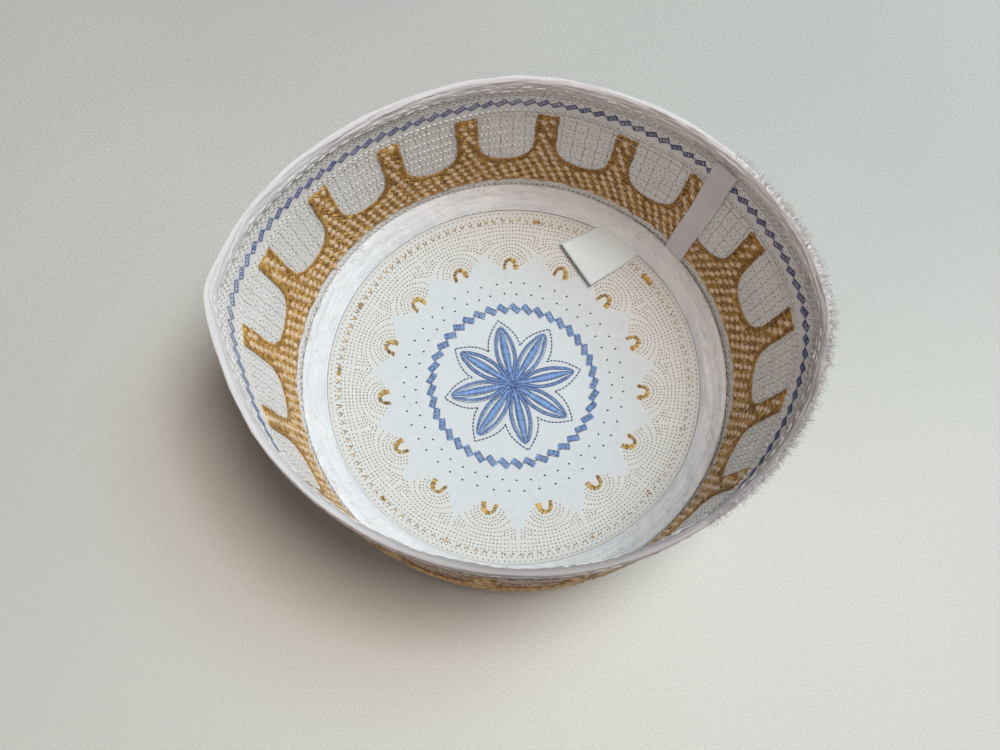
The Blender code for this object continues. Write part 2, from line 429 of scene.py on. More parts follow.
def makePiece(name, points, faces, finish, shade=None, chart=None):
    mesh = bpy.data.meshes.new(name)
    faces = [np.asarray(f, np.int32) for f in (faces if isinstance(faces, list) else [faces])]
    sizes = np.concatenate([np.full(len(f), f.shape[1], np.int32) for f in faces])
    corners = np.concatenate([f.ravel() for f in faces])
    mesh.vertices.add(len(points))
    mesh.vertices.foreach_set("co", np.asarray(points, np.float32).ravel())
    mesh.loops.add(len(corners))
    mesh.loops.foreach_set("vertex_index", corners)
    mesh.polygons.add(len(sizes))
    mesh.polygons.foreach_set("loop_start", np.concatenate([[0], np.cumsum(sizes)[:-1]]).astype(np.int32))
    mesh.polygons.foreach_set("use_smooth", np.ones(len(sizes), bool))
    if shade is not None:
        tones = mesh.attributes.new("shade", "FLOAT", "POINT")
        tones.data.foreach_set("value", np.asarray(shade, np.float32))
    if chart is not None:
        mesh.uv_layers.new(name="weave").data.foreach_set("uv", np.asarray(chart, np.float32).ravel())
    mesh.update(calc_edges=True)
    mesh.validate()
    piece = bpy.data.objects.new(name, mesh)
    bpy.context.scene.collection.objects.link(piece)
    mesh.materials.append(finish.material)
    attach(piece, "root")
    return piece


# Quads of a grid of points, row by row. Rows and columns can each close on themselves.
def gridFaces(rows, columns, closedRows=False, closedColumns=False):
    i, j = np.meshgrid(np.arange(rows - (not closedRows)), np.arange(columns - (not closedColumns)),
                       indexing="ij")
    above, beside = (i + 1) % rows * columns, (j + 1) % columns
    return np.stack([i * columns + j, i * columns + beside, above + beside, above + j], -1).reshape(-1, 4)


# A closed ring of cloth from loops that run round the cap, with its own chart
def makeRing(name, loops, finish):
    rows, columns = len(loops), len(loops[0])
    points, faces = np.concatenate(loops), gridFaces(rows, columns, True, True)
    widths = [np.linalg.norm(b - a, axis=-1).mean() for a, b in zip(loops, loops[1:] + loops[:1])]
    across = np.concatenate([[0], np.cumsum(widths)])
    i, j = np.divmod(np.arange(rows * columns), columns)
    turnOf = np.stack([j, j + 1, j + 1, j], -1) / columns * cap["girth"]
    chart = np.stack([turnOf, across[np.stack([i, i, i + 1, i + 1], -1)]], -1)
    turned = facesOutward(points, faces)
    if turned is not faces:
        chart = chart[:, ::-1]
    piece = makePiece(name, points, turned, finish, chart=chart)
    return piece


# Small things that repeat: each is modelled once, one long, one wide and one high, and then sewn on in copies
def pick(kind, test):
    bpy.ops.mesh.select_mode(type=kind)
    bpy.ops.mesh.select_all(action="DESELECT")
    shape = bmesh.from_edit_mesh(bpy.context.object.data)
    for part in {"VERT": shape.verts, "FACE": shape.faces}[kind]:
        part.select_set(bool(test(part.co if kind == "VERT" else part.calc_center_median())))
    shape.select_flush_mode()
    bmesh.update_edit_mesh(bpy.context.object.data)


def takeMesh():
    bpy.ops.object.mode_set(mode="OBJECT")
    bpy.ops.object.transform_apply(location=False, rotation=True, scale=True)
    made = bpy.context.object
    points = np.array([v.co[:] for v in made.data.vertices])
    faces = {}
    for face in made.data.polygons:
        faces.setdefault(len(face.vertices), []).append(list(face.vertices))
    bpy.data.objects.remove(made, do_unlink=True)
    return points, [np.array(f) for f in faces.values()]


def modelThread(sides, rings, body):
    deselectAll()
    bpy.ops.mesh.primitive_uv_sphere_add(segments=sides, ring_count=rings, radius=0.5)
    bpy.ops.object.mode_set(mode="EDIT")
    pick("VERT", lambda spot: abs(spot.z) < 0.49)
    bpy.ops.transform.resize(value=(1.0, 1.0, body), center_override=(0, 0, 0))
    pick("VERT", lambda spot: 0.05 < abs(spot.z) < 0.49)
    bpy.ops.transform.resize(value=(1.06, 1.06, 1.0), center_override=(0, 0, 0))
    bpy.ops.object.mode_set(mode="OBJECT")
    bpy.context.object.rotation_euler = (0, math.pi / 2, 0)
    return takeMesh()


# A little cushion, broad near the top and pointed below
def modelPuff():
    deselectAll()
    bpy.ops.mesh.primitive_cylinder_add(vertices=8, radius=0.5, depth=1.0, end_fill_type="NGON")
    bpy.ops.object.mode_set(mode="EDIT")
    turned = lambda spot: math.degrees(math.atan2(spot.y, spot.x))
    pick("VERT", lambda spot: min(abs(turned(spot) - a) for a in (45, 135, -45, -135)) < 15)
    bpy.ops.transform.resize(value=(0.83, 0.83, 1.0), center_override=(0, 0, 0))
    pick("VERT", lambda spot: abs(turned(spot) + 90) < 15)
    bpy.ops.transform.resize(value=(1.0, 1.16, 1.0), center_override=(0, 0, 0))
    pick("FACE", lambda spot: spot.z > 0.4)
    bpy.ops.mesh.inset(thickness=0.13, depth=0.26)
    bpy.ops.mesh.poke(offset=0.12)
    pick("VERT", lambda spot: True)
    bpy.ops.transform.translate(value=(0, 0, -0.25))
    return takeMesh()


def modelEyelet():
    deselectAll()
    bpy.ops.mesh.primitive_cone_add(vertices=5, radius1=0.5, radius2=0.0, depth=1.0)
    bpy.ops.object.mode_set(mode="EDIT")
    pick("VERT", lambda spot: spot.z > 0.2)
    bpy.ops.transform.resize(value=(1.0, 1.0, 0.6), center_override=(0, 0, 0))
    return takeMesh()


thinThread = modelThread(4, 3, 1.45)
roundThread = modelThread(6, 4, 1.15)
hairThread = modelThread(3, 3, 1.4)
puff = modelPuff()
eyelet = modelEyelet()
eyeletHeight = 0.10 * mm
print("cap: stitch, puff and eyelet are modelled")


# Copies of one small thing over the cloth. The ends of a stitch can be darker than its middle: painted shade
# where it goes into the cloth.
def sewOn(name, thing, spots, length, width, height, finish, shade=0.5, endShade=0.0):
    place, along, out = spots
    count = len(place)
    points, faces = thing
    across = np.cross(out, along)
    size = [np.broadcast_to(np.asarray(v, float), (count,))[:, None, None] for v in (length, width, height)]
    shape = points[None, :, :]
    made = (place[:, None, :] + along[:, None, :] * shape[..., 0:1] * size[0]
            + across[:, None, :] * shape[..., 1:2] * size[1] + out[:, None, :] * shape[..., 2:3] * size[2])
    offsets = (np.arange(count) * len(points))[:, None, None]
    copies = [(f[None] + offsets).reshape(-1, f.shape[1]) for f in faces]
    tone = np.broadcast_to(np.asarray(shade, float), (count,))[:, None]
    tone = tone - endShade * (2 * np.abs(points[:, 0]))[None] ** 2
    piece = makePiece(name, made.reshape(-1, 3), copies, finish, tone.ravel())
    return piece


def joinSpots(parts):
    return tuple(np.concatenate([part[k] for part in parts]) for k in range(3))


# Batches of stitches put together. What is the same all through a batch is given once.
def gathered(batches):
    full = [[np.broadcast_to(value, np.shape(batch[0])) for value in batch] for batch in batches]
    return [np.concatenate(column) for column in zip(*full)]


# Sews on the crown by plan places and by ways in radians
def sewOnCrown(name, thing, x, y, way, side, lift, length, width, height, finish, shade, endShade=0.0):
    spots = crownSpot(x, y, np.cos(way), np.sin(way), side, lift)
    return sewOn(name, thing, spots, length, width, height, finish, shade, endShade)


faceWord = {1: "Inside", -1: "Outside"}


def turnedWay(first, second, degrees):
    angle = np.radians(np.asarray(degrees, float))
    return first * np.cos(angle)[..., None] + second * np.sin(angle)[..., None]


# Thread: flecked from its dark to its light, and finely twisted
threadLook = {"fleckScale": 900.0, "twist": 0.16 * mm, "twistDepth": 0.08 * mm}


def makeThreadFinish(name, dark, light, roughness, sheen):
    finish = Finish(name, Roughness=roughness, Sheen_Weight=sheen, Sheen_Roughness=0.4,
                    Specular_IOR_Level=0.45)
    tone = finish.painted("shade")
    fleck = finish.noise(finish.place(), threadLook["fleckScale"], 3.0, 0.6)
    finish.colour(finish.node("ShaderNodeValToRGB", {"stops": [(0.0, dark), (1.0, light)]},
                              {"Fac": tone + (fleck - 0.5) * 0.5}))
    finish.rough(roughness - 0.15 * fleck)
    finish.bump(finish.noise(finish.place(), 1.0 / threadLook["twist"], 2.0), threadLook["twistDepth"], 0.6)
    return finish


# Cloth: ribbed and grained, cloudy between two colours. Its last argument paints shade into it, greyer
# towards the near right.
paintedShadeCloth = {"colour": (0.40, 0.365, 0.37), "from": 0.024, "to": 0.078}


def makeClothFinish(name, colour, second, roughness, rib, ribDepth, chart=False, paintedShade=0.0):
    finish = Finish(name, Roughness=roughness, Sheen_Weight=0.25, Sheen_Roughness=0.5, Specular_IOR_Level=0.3)
    where = finish.chart() if chart else finish.place()
    ribScale = 0.5 / rib * 0.31
    weave = finish.ribs(where, ribScale, "X", 0.3) + finish.ribs(where, ribScale, "Y", 0.3)
    cloudy = finish.noise(finish.place(), 55.0, 4.0, 0.6)
    grain = finish.noise(where, 2600.0, 2.0, 0.7)
    clean = finish.mixed(finish.smooth(cloudy * 0.6 + grain * 0.4, 0.35, 0.7), colour, second)
    if paintedShade:
        x, y = (finish.node("ShaderNodeSeparateXYZ", None, {0: finish.place()}, side) for side in "XY")
        # painted shade: the cloth's colour turns greyer towards the near right
        nearRightPaintedShade = finish.smooth(x * 0.45 - y * 0.9, paintedShadeCloth["from"], paintedShadeCloth["to"])
        clean = finish.mixed(nearRightPaintedShade * paintedShade, clean, paintedShadeCloth["colour"])
    finish.colour(clean)
    finish.rough(roughness - 0.1 + 0.2 * grain)
    finish.bump(weave * 0.35 + grain * 0.65, ribDepth, 0.8)
    return finish


# Crown: smooth inside the blue ring, pebbled between ring and fans, warmer under the fans, fluffy at its edge
crownWhite = Finish("crownWhite", Roughness=0.8, Sheen_Weight=0.3, Sheen_Roughness=0.45,
                    Specular_IOR_Level=0.3)
underFans = crownWhite.painted("shade")
crownPlace = crownWhite.place()
outFromMiddle = crownWhite.node("ShaderNodeVectorMath", {"operation": "LENGTH"}, {0: crownPlace}, "Value")
pebbled = crownWhite.smooth(outFromMiddle, 0.0355, 0.0375) * (1 - underFans)
fluffy = crownWhite.smooth(outFromMiddle, 0.0725, 0.0745)
crownGrain = crownWhite.noise(crownPlace, 1700.0, 3.0, 0.7)
crownPebbles = crownWhite.noise(crownPlace, 620.0, 4.0, 0.65)
crownCloud = crownWhite.noise(crownPlace, 60.0, 3.0, 0.6)
crownFluff = crownWhite.noise(crownPlace, 850.0, 5.0, 0.75)
plainWhite = crownWhite.mixed(crownCloud, (0.645, 0.69, 0.73), (0.675, 0.72, 0.757))
pebbleTops = pebbled * crownWhite.smooth(crownPebbles, 0.4, 0.7)
plainWhite = crownWhite.mixed(pebbleTops, plainWhite, (0.615, 0.66, 0.70))
fanWhite = crownWhite.mixed(crownGrain, (0.66, 0.667, 0.658), (0.71, 0.715, 0.705))
crownWhite.colour(crownWhite.mixed(underFans, plainWhite, fanWhite))
crownWhite.rough(0.7 + 0.2 * crownGrain)
crownRibs = crownWhite.ribs(crownPlace, 300.0, "X", 0.4) * 0.3
crownRelief = crownRibs + crownGrain * 0.5 + crownPebbles * pebbled * 2.2 + crownFluff * fluffy * 3.0
crownWhite.bump(crownRelief, 0.10 * mm, 0.8)

bandWhite = makeClothFinish("bandWhite", (0.82, 0.80, 0.79), (0.91, 0.90, 0.89),
                            0.85, 0.5 * mm, 0.10 * mm, True)
# the hem's cloth takes the painted shade, greyer towards the near right
hemWhite = makeClothFinish("hemWhite", (0.71, 0.685, 0.70), (0.80, 0.775, 0.79),
                           0.85, 0.35 * mm, 0.09 * mm, True, 0.85)
rollWhite = makeClothFinish("rollWhite", (0.77, 0.80, 0.86), (0.91, 0.93, 0.965),
                            0.9, 0.6 * mm, 0.34 * mm, True)
tapeWhite = makeClothFinish("tapeWhite", (0.70, 0.655, 0.675), (0.80, 0.75, 0.77),
                            0.55, 0.3 * mm, 0.03 * mm)
labelWhite = makeClothFinish("labelWhite", (0.63, 0.71, 0.75), (0.69, 0.755, 0.79),
                             0.4, 0.25 * mm, 0.02 * mm)
whiteThread = makeThreadFinish("whiteThread", (0.78, 0.74, 0.70), (0.97, 0.96, 0.94), 0.45, 0.4)
goldThread = makeThreadFinish("goldThread", (0.38, 0.185, 0.03), (0.95, 0.60, 0.18), 0.36, 0.25)
goldEdge = makeThreadFinish("goldEdge", (0.29, 0.135, 0.02), (0.74, 0.43, 0.11), 0.4, 0.2)
goldBright = makeThreadFinish("goldBright", (0.20, 0.10, 0.012), (0.92, 0.60, 0.12), 0.34, 0.2)
puffCream = makeThreadFinish("puffCream", (0.66, 0.41, 0.20), (0.94, 0.70, 0.47), 0.55, 0.3)
blueThread = makeThreadFinish("blueThread", (0.018, 0.05, 0.19), (0.27, 0.46, 0.86), 0.38, 0.2)
outlineBlue = makeThreadFinish("outlineBlue", (0.018, 0.03, 0.10), (0.08, 0.12, 0.28), 0.5, 0.1)
bandBlue = makeThreadFinish("bandBlue", (0.05, 0.065, 0.22), (0.30, 0.38, 0.74), 0.45, 0.2)
# grey fluff: painted shade on the white fluff of the rim's shaded right side
fluffPaintedShadeGrey = makeThreadFinish("fluffPaintedShadeGrey", (0.46, 0.42, 0.42), (0.72, 0.68, 0.68), 0.8, 0.2)
eyeletDark = makeThreadFinish("eyeletDark", (0.05, 0.037, 0.026), (0.16, 0.122, 0.09), 0.9, 0.0)
eyeletBrown = makeThreadFinish("eyeletBrown", (0.05, 0.038, 0.02), (0.18, 0.135, 0.075), 0.85, 0.0)
tanThread = makeThreadFinish("tanThread", (0.40, 0.27, 0.18), (0.82, 0.66, 0.53), 0.5, 0.3)
eyeletGrey = makeThreadFinish("eyeletGrey", (0.012, 0.015, 0.022), (0.06, 0.07, 0.09), 0.85, 0.0)

goldGround = Finish("goldGround", Roughness=0.6, Sheen_Weight=0.15, Specular_IOR_Level=0.4)
groundPlace = goldGround.chart()
groundLines = goldGround.ribs(goldGround.turned(groundPlace, math.radians(35)), 420.0, "X", 2.0)
groundFleck = goldGround.noise(groundPlace, 700.0, 3.0, 0.6)
goldGround.colour(goldGround.mixed(goldGround.smooth(groundLines * 0.5 + groundFleck * 0.5, 0.2, 0.8),
                                   (0.36, 0.18, 0.03), (0.72, 0.43, 0.12)))
goldGround.bump(groundLines, 0.12 * mm, 0.9)
print("cap: finishes are mixed")


def makeFloor():
    deselectAll()
    bpy.ops.mesh.primitive_plane_add(size=studio["floorSize"], location=(0, 0, -studio["floorDrop"]))
    floor = bpy.context.object
    floor.name = "paleTable"
    finish = Finish("paleTable", Roughness=0.5, Specular_IOR_Level=0.3)
    speck = finish.noise(finish.place(), 1300.0, 3.0, 0.75)
    haze = finish.noise(finish.place(), 4.0, 2.0, 0.5)
    along = finish.node("ShaderNodeSeparateXYZ", None, {0: finish.place()}, "Y")
    # painted light: the floor's colour grows paler towards the near side
    nearerPaintedLight = finish.smooth(along, 0.22, -0.22)   # paler towards the near side, as in the photo
    pale = finish.mixed(nearerPaintedLight, (0.505, 0.515, 0.50), (0.635, 0.635, 0.61))
    grit = finish.smooth(speck * 0.8 + haze * 0.2, 0.42, 0.70)
    finish.colour(finish.mixed(grit, pale, (0.74, 0.74, 0.70)))
    finish.bump(speck, 0.10 * mm, 0.7)
    floor.data.materials.append(finish.material)


makeFloor()

# Fans of eyelets round the gold arches. The crown's cloth is tinted under them.
fans = {
    "count": 15,
    "first": 91.3,                        # degrees
    "archRadius": 51.9 * mm,              # where the gold arch has its centre
    "starTip": 57.3 * mm,                 # how far out the plain star reaches between two fans
    "tipDrift": 4.0 * mm,                 # and further on the near side
    "footRadius": 50.3 * mm,
    "footHalf": 3.4,                      # degrees
    "firstReach": 4.4 * mm,
    "rowPitch": 1.37 * mm,
    "wholeRows": 10,
    "shortRows": ((4.5, 0.55), (5.5, 0.8)),    # row, and the share of the fan's middle that it leaves out
    "flatter": ((0, 2, 3, 4, 5, 6, 7, 8, 9), (1.0, 1.0, 0.88, 0.76, 0.66, 0.58, 0.52, 0.50, 0.50)),
    "dotPitch": 1.14 * mm,
    "pitchGrowth": 0.035,                 # from one row to the next
    "clearance": 0.3 * mm,
    "dot": 0.83 * mm,
    "outerRows": ((70.9 * mm, 230, 0.0), (72.5 * mm, 230, 0.5)),
}


def awayFromFan(angle):
    pitch = 360.0 / fans["count"]
    return np.mod(angle - fans["first"] + pitch / 2, pitch) - pitch / 2


def fanInner(angle):
    away = np.abs(awayFromFan(angle))
    half = 180.0 / fans["count"]
    share = np.clip((away - fans["footHalf"]) / (half - fans["footHalf"]), 0.0, 1.0)
    tip = fans["starTip"] + fans["tipDrift"] * np.clip(-np.sin(np.radians(angle)), 0, 1) ** 2
    return fans["footRadius"] + (tip - fans["footRadius"]) * share**1.35


def fanTint(x, y):
    radius, angle = np.hypot(x, y), np.degrees(np.arctan2(y, x))
    return np.clip((radius - fanInner(angle)) / (1.0 * mm) + 0.5, 0.0, 1.0)


# Crown cloth: a domed disc with its edge turned up to the seam
def makeCrownCloth():
    sides = crownCloth["sides"]
    angle = np.radians(np.arange(sides) * 360.0 / sides)
    topRadii = crownCloth["edgeRadius"] * np.linspace(0, 1, crownCloth["rings"] + 1)[1:]
    underRadii = crownCloth["edgeRadius"] * np.linspace(0, 1, crownCloth["underRings"] + 1)[1:]
    loops = []
    for side, radii in ((1, topRadii), (-1, underRadii[::-1])):
        for radius in radii:
            loops.append(crownSpot(radius * np.cos(angle), radius * np.sin(angle), 1.0, 0.0, side)[0])
    points = np.concatenate(loops + [np.array([[0, 0, cap["crownThickness"]], [0, 0, 0]])])
    middle = len(loops) * sides           # the two middle points come last
    k = np.arange(sides)
    following = (k + 1) % sides
    walls = gridFaces(len(loops), sides, False, True)[:, [0, 3, 2, 1]]
    topCap = np.stack([np.full(sides, middle), k, following], -1)
    underCap = np.stack([np.full(sides, middle + 1), middle - sides + following, middle - sides + k], -1)
    piece = makePiece("crownCloth", points, [walls, topCap, underCap], crownWhite,
                      fanTint(points[:, 0], points[:, 1]))
    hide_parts("crown_top")
    return piece


makeCrownCloth()
print("cap: crown cloth is on")

# Band cloth: one strip round the cap
def makeBandCloth():
    turn = np.arange(bandCloth["columns"]) / bandCloth["columns"]
    even = np.linspace(bandCloth["foot"], bandCloth["evenTo"], bandCloth["evenRows"])
    heights = np.concatenate([even, bandCloth["hemRows"]])
    outside = [wallPoint(turn, height, clothDepth(turn, height, -1)) for height in heights]
    inside = [wallPoint(turn, height, clothDepth(turn, height, 1)) for height in heights]
    piece = makeRing("bandCloth", outside + inside[::-1], bandWhite)
    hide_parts("side_band")
    return piece


makeBandCloth()
print("cap: band cloth is on")

# Hem folded over the rim, slightly puckered by its stitches
hem = {
    "columns": 432,
    "start": 0.917,
    "outerLayers": 9,                     # of the profile: up the outside, before it turns over the rim
    "skinLayers": 24,                     # the rest is hidden inside the fold
    "pucker": 0.13 * mm,
    "creases": 0.26 * mm,
    "folds": 3.3,
    "foldDepth": 0.13 * mm,
    "stitchRows": (0.9255, 0.9525),
    "stitches": 112,
    "stitchLength": 3.7 * mm,
    "stitchWidth": 0.42 * mm,
    "stitchHeight": 0.36 * mm,
    "innerStitch": 2.62 * mm,             # depths of the stitches on both faces
    "outerStitch": -0.10 * mm,
    "outerPull": 0.7,                     # the outside is pulled in less
}
hemProfile = [                            # share of the hem's height, depth in mm
    (0.0, 0.15), (0.012, 0.0), (0.25, -0.05), (0.5, -0.05), (0.75, 0.0), (0.90, 0.08), (0.965, 0.22),
    (0.99, 0.42), (0.998, 0.66), (0.99, 0.95), (0.965, 1.28), (0.93, 1.54), (0.895, 1.74), (0.85, 1.94),
    (0.80, 2.08), (0.74, 2.20), (0.67, 2.32), (0.59, 2.42), (0.50, 2.50), (0.40, 2.55), (0.30, 2.58),
    (0.20, 2.58), (0.10, 2.52), (0.04, 2.38), (0.0, 2.15), (0.0, 2.0), (0.80, 1.95), (0.86, 1.60),
    (0.885, 1.20), (0.86, 0.80), (0.78, 0.5), (0.0, 0.5)]


# The hem is pulled in by its stitches, and soft folds run along it, in and out of its edge
def hemPucker(turn, share):
    pull = roundRipples(turn, 0 * turn, 9 * mm, 21) + 0.8 * np.sin(2 * math.pi * hem["stitches"] * turn)
    creases = hem["creases"] * roundRipples(turn, 2.6 * share + 0 * turn, 17 * mm, 24)
    drift = 0.9 * roundRipples(turn, 0 * turn, 60 * mm, 25) + 0.25 * roundRipples(turn, 0 * turn, 15 * mm, 26)
    onLeft = 0.35 + 0.65 * np.clip(np.cos(2 * math.pi * (turn - 0.36)), 0, 1)
    folds = hem["foldDepth"] * onLeft * np.sin(2 * math.pi * (hem["folds"] * share + drift))
    folds = folds * np.clip(share / 0.3, 0.2, 1)
    return (hem["pucker"] * pull + creases) * (0.5 + 0.5 * np.sin(math.pi * np.clip(share, 0, 1))) + folds


def makeHem():
    turn = np.arange(hem["columns"]) / hem["columns"]
    loops = []
    for layer, (share, depth) in enumerate(hemProfile):
        topWave = 0.0038 * roundRipples(turn, 0 * turn, 21 * mm, 22) * share
        lowWave = 0.004 * roundRipples(turn, 0 * turn, 12 * mm, 23) * (1 - share)
        height = hem["start"] + (1.0 - hem["start"]) * share + topWave + lowWave
        dent = 0 * turn
        if layer < hem["skinLayers"] and share < 0.97:
            dent = hemPucker(turn, share) * (-hem["outerPull"] if layer < hem["outerLayers"] else 1.0)
        loops.append(wallPoint(turn, height, depth * mm + dent))
    piece = makeRing("rimHem", loops, hemWhite)
    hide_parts("rim_hem")
    return piece


def sewHem():
    dice = np.random.default_rng(31)
    parts = []
    for side in (1, -1):
        for row, height in enumerate(hem["stitchRows"]):
            turn = (np.arange(hem["stitches"]) + 0.5 * row) / hem["stitches"]
            heights = height + dice.normal(0, 0.0014, len(turn))
            pucker = hemPucker(turn, (heights - hem["start"]) / (1 - hem["start"]))
            depth = (hem["innerStitch"] + pucker if side > 0
                     else hem["outerStitch"] - hem["outerPull"] * pucker)
            place, onward, upward, inward = wallFrame(turn, heights, depth)
            parts.append((place, turnedWay(onward, upward, dice.normal(-4, 2.5, len(turn))), inward * side))
    spots = joinSpots(parts)
    onRight = np.clip(spots[0][:, 0] / (50 * mm) - 0.3, 0, 1)   # finer and duller there, as in the photo
    # painted shade: the stitches' tone is lowered on the right, where the hem lies in shade
    sewOn("hemStitches", thinThread, spots, hem["stitchLength"], hem["stitchWidth"] * (1 - 0.35 * onRight),
          hem["stitchHeight"] * (1 - 0.4 * onRight), whiteThread,
          dice.uniform(0.6, 1.0, len(spots[0])) - 0.6 * onRight)


makeHem()
sewHem()
print("cap: hem is folded and sewn")

# Seam roll: the seam allowance turned in, a soft ridge by the band and then a flat fluffy strip
roll = {
    "radius": 79.0 * mm,
    "sides": 540,
    "bow": 6.0,                           # how much it rises towards both edges
    "stitchRows": (                       # across, height, count, lean in degrees
        (-0.7 * mm, 2.05 * mm, 128, 6),
        (3.0 * mm, 3.0 * mm, 96, -4),
    ),
    "stitchLengths": (1.4, 2.4),          # mm
    "stitchWidth": 0.42 * mm,
    "stitchHeight": 0.36 * mm,
    "fibres": 1700,
    "fibreLengths": (1.0, 4.0),           # mm
    "fibreWidths": (0.32, 0.20),          # mm, over its joint with the wall and elsewhere
    "fibreHeight": 0.16 * mm,
    "jointShare": 0.4,                    # of the fibres lie over the joint
    "jointReach": (4.8, 5.8),             # mm across the roll
}
rollProfile = [                           # across the roll from its middle, and height, in mm
    (-4.2, 0.08), (-1.5, -0.06), (1.5, -0.15), (3.6, 0.0), (4.5, 0.5), (5.2, 1.3), (5.55, 2.0), (5.4, 2.65),
    (4.6, 3.0), (3.7, 3.0), (3.0, 2.85), (2.4, 2.62), (1.8, 2.38), (1.2, 2.2), (0.5, 2.08), (-0.3, 1.95),
    (-1.1, 1.75), (-1.9, 1.5), (-2.7, 1.2), (-3.5, 0.82), (-4.2, 0.45), (-4.75, 0.2), (-5.1, 0.02)]
fibreHeights = ([-4.4, -3.5, -1.1, 0.5, 1.8, 3.0, 3.7, 4.6, 5.4, 5.8],
                [0.5, 1.0, 1.95, 2.3, 2.6, 3.05, 3.2, 3.2, 3.0, 2.9])


def rollSpot(angle, across, height):
    slope = crownSlope(np.float64(roll["radius"]))
    foot = roll["radius"] - cap["crownThickness"] * math.sin(slope)
    radius = foot + across * math.cos(slope) - height * math.sin(slope)
    z = (crownHeight(np.float64(roll["radius"])) + cap["crownThickness"] * math.cos(slope)
         + across * math.sin(slope) + height * math.cos(slope))
    return np.stack([radius * np.cos(angle), radius * np.sin(angle), z + 0 * angle], -1)


# The ways on round the roll, over it and out of it
def rollWays(angle):
    slope = crownSlope(np.float64(roll["radius"]))
    onward = np.stack([-np.sin(angle), np.cos(angle), 0 * angle], -1)
    lean = -math.sin(slope)
    out = np.stack([lean * np.cos(angle), lean * np.sin(angle), math.cos(slope) + 0 * angle], -1)
    return onward, np.cross(out, onward), out


# How the roll's upper side wanders: long sways, and short puckers that differ from ridge to strip
def rollWander(angle, across):
    x, y = np.cos(angle), np.sin(angle)
    r = roll["radius"] + across
    sway = 0.50 * mm * ripples(r * x, r * y, 70 * mm, 42) + 0.22 * mm * ripples(r * x, r * y, 13 * mm, 43)
    swell = 0.30 * mm * ripples(r * x, r * y, 9 * mm, 41) + 0.26 * mm * ripples(r * x, r * y, 3.6 * mm, 44)
    drift = 0.8 * ripples(r * x, r * y, 45 * mm, 46) + 0.2 * ripples(r * x, r * y, 12 * mm, 47)
    swell = swell + 0.17 * mm * np.sin(2 * math.pi * (across / (2.6 * mm) + drift))   # strands lie along it
    return sway, swell


def makeRoll():
    angle = np.radians(cap["seamJoinAngle"]) + 2 * math.pi * np.arange(roll["sides"]) / roll["sides"]
    loops = []
    for across, height in rollProfile:
        top = np.clip(height / 1.5, 0, 1)
        sway, swell = rollWander(angle, across * mm)
        lift = 0.16 + 0.20 * np.clip((across + 5.1) / 1.5, 0.0, 1.0)   # inner edge close to the crown
        over = (height + lift) * mm + across**2 * 0.006 * mm
        inner = np.clip((4.4 - across) / 2.0, 0, 1)
        swell = swell * top * (1.0 if across < 4.5 else 0.4)
        loops.append(rollSpot(angle, across * mm + sway * top * inner, over + swell))
    piece = makeRing("seamRoll", loops, rollWhite)
    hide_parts("crown_seam_roll")
    return piece


def sewRoll():
    dice = np.random.default_rng(45)
    parts = []
    for across, height, count, turned in roll["stitchRows"]:
        angle = 2 * math.pi * (np.arange(count) + dice.normal(0, 0.1, count)) / count
        sway, swell = rollWander(angle, across)
        place = rollSpot(angle, across + sway, height + swell + across**2 * roll["bow"])
        onward, over, out = rollWays(angle)
        parts.append((place, turnedWay(onward, over, turned + dice.normal(0, 7, count)), out))
    spots = joinSpots(parts)
    count = len(spots[0])
    sewOn("rollStitches", thinThread, spots, dice.uniform(*roll["stitchLengths"], count) * mm,
          roll["stitchWidth"], roll["stitchHeight"], whiteThread,
          dice.uniform(0.4, 1.0, count))
    count = roll["fibres"]                # loose fibres lying on the roll, mostly along it
    angle, across = dice.uniform(0, 2 * math.pi, count), dice.normal(0.4, 2.6, count)
    overJoint = np.arange(count) < roll["jointShare"] * count
    across = np.where(overJoint, dice.uniform(*roll["jointReach"], count), np.clip(across, -4.4, 4.0)) * mm
    sway, swell = rollWander(angle, across)
    tall = np.interp(across / mm, *fibreHeights) * mm + swell + across**2 * roll["bow"]
    place = rollSpot(angle, across + sway, tall + dice.uniform(0, 0.3, count) * mm)
    onward, over, out = rollWays(angle)
    along = turnedWay(onward, over, dice.normal(0, 35, count))
    sewOn("rollFibres", hairThread, (place, along, out), dice.uniform(*roll["fibreLengths"], count) * mm,
          np.where(overJoint, *roll["fibreWidths"]) * mm, roll["fibreHeight"], whiteThread,
          dice.uniform(0.5, 1.0, count))


makeRoll()
sewRoll()
print("cap: seam roll is in")

# Tape over the band's join
tape = {
    "width": 9.3 * mm,
    "low": 0.052,
    "high": 0.918,
    "back": 2.0 * mm,
    "thickness": 0.5 * mm,
    "stitchRows": ((-0.36, 0.14), (0.30, 0.17)),   # across the tape, and the lowest stitch
    "stitchPitch": 0.062,
    "stitchLengths": (1.1, 1.9),          # mm
    "stitchWidth": 0.34 * mm,
    "stitchHeight": 0.3 * mm,
    "stitchLift": 0.12 * mm,
}


# A slab between a front and a back grid of points, with walls round its border
def makeSlab(name, front, back, finish):
    rows, columns = front.shape[:2]
    points = np.concatenate([front.reshape(-1, 3), back.reshape(-1, 3)])
    grid = np.arange(rows * columns).reshape(rows, columns)
    border = np.concatenate([grid[0], grid[1:, -1], grid[-1, -2::-1], grid[-2:0:-1, 0]])
    following = np.roll(border, -1)
    face = gridFaces(rows, columns)
    faces = [face, grid.size + face[:, [0, 3, 2, 1]],
             np.stack([following, border, grid.size + border, grid.size + following], -1)]
    piece = makePiece(name, points, facesOutward(points, np.concatenate(faces)), finish)
    return piece


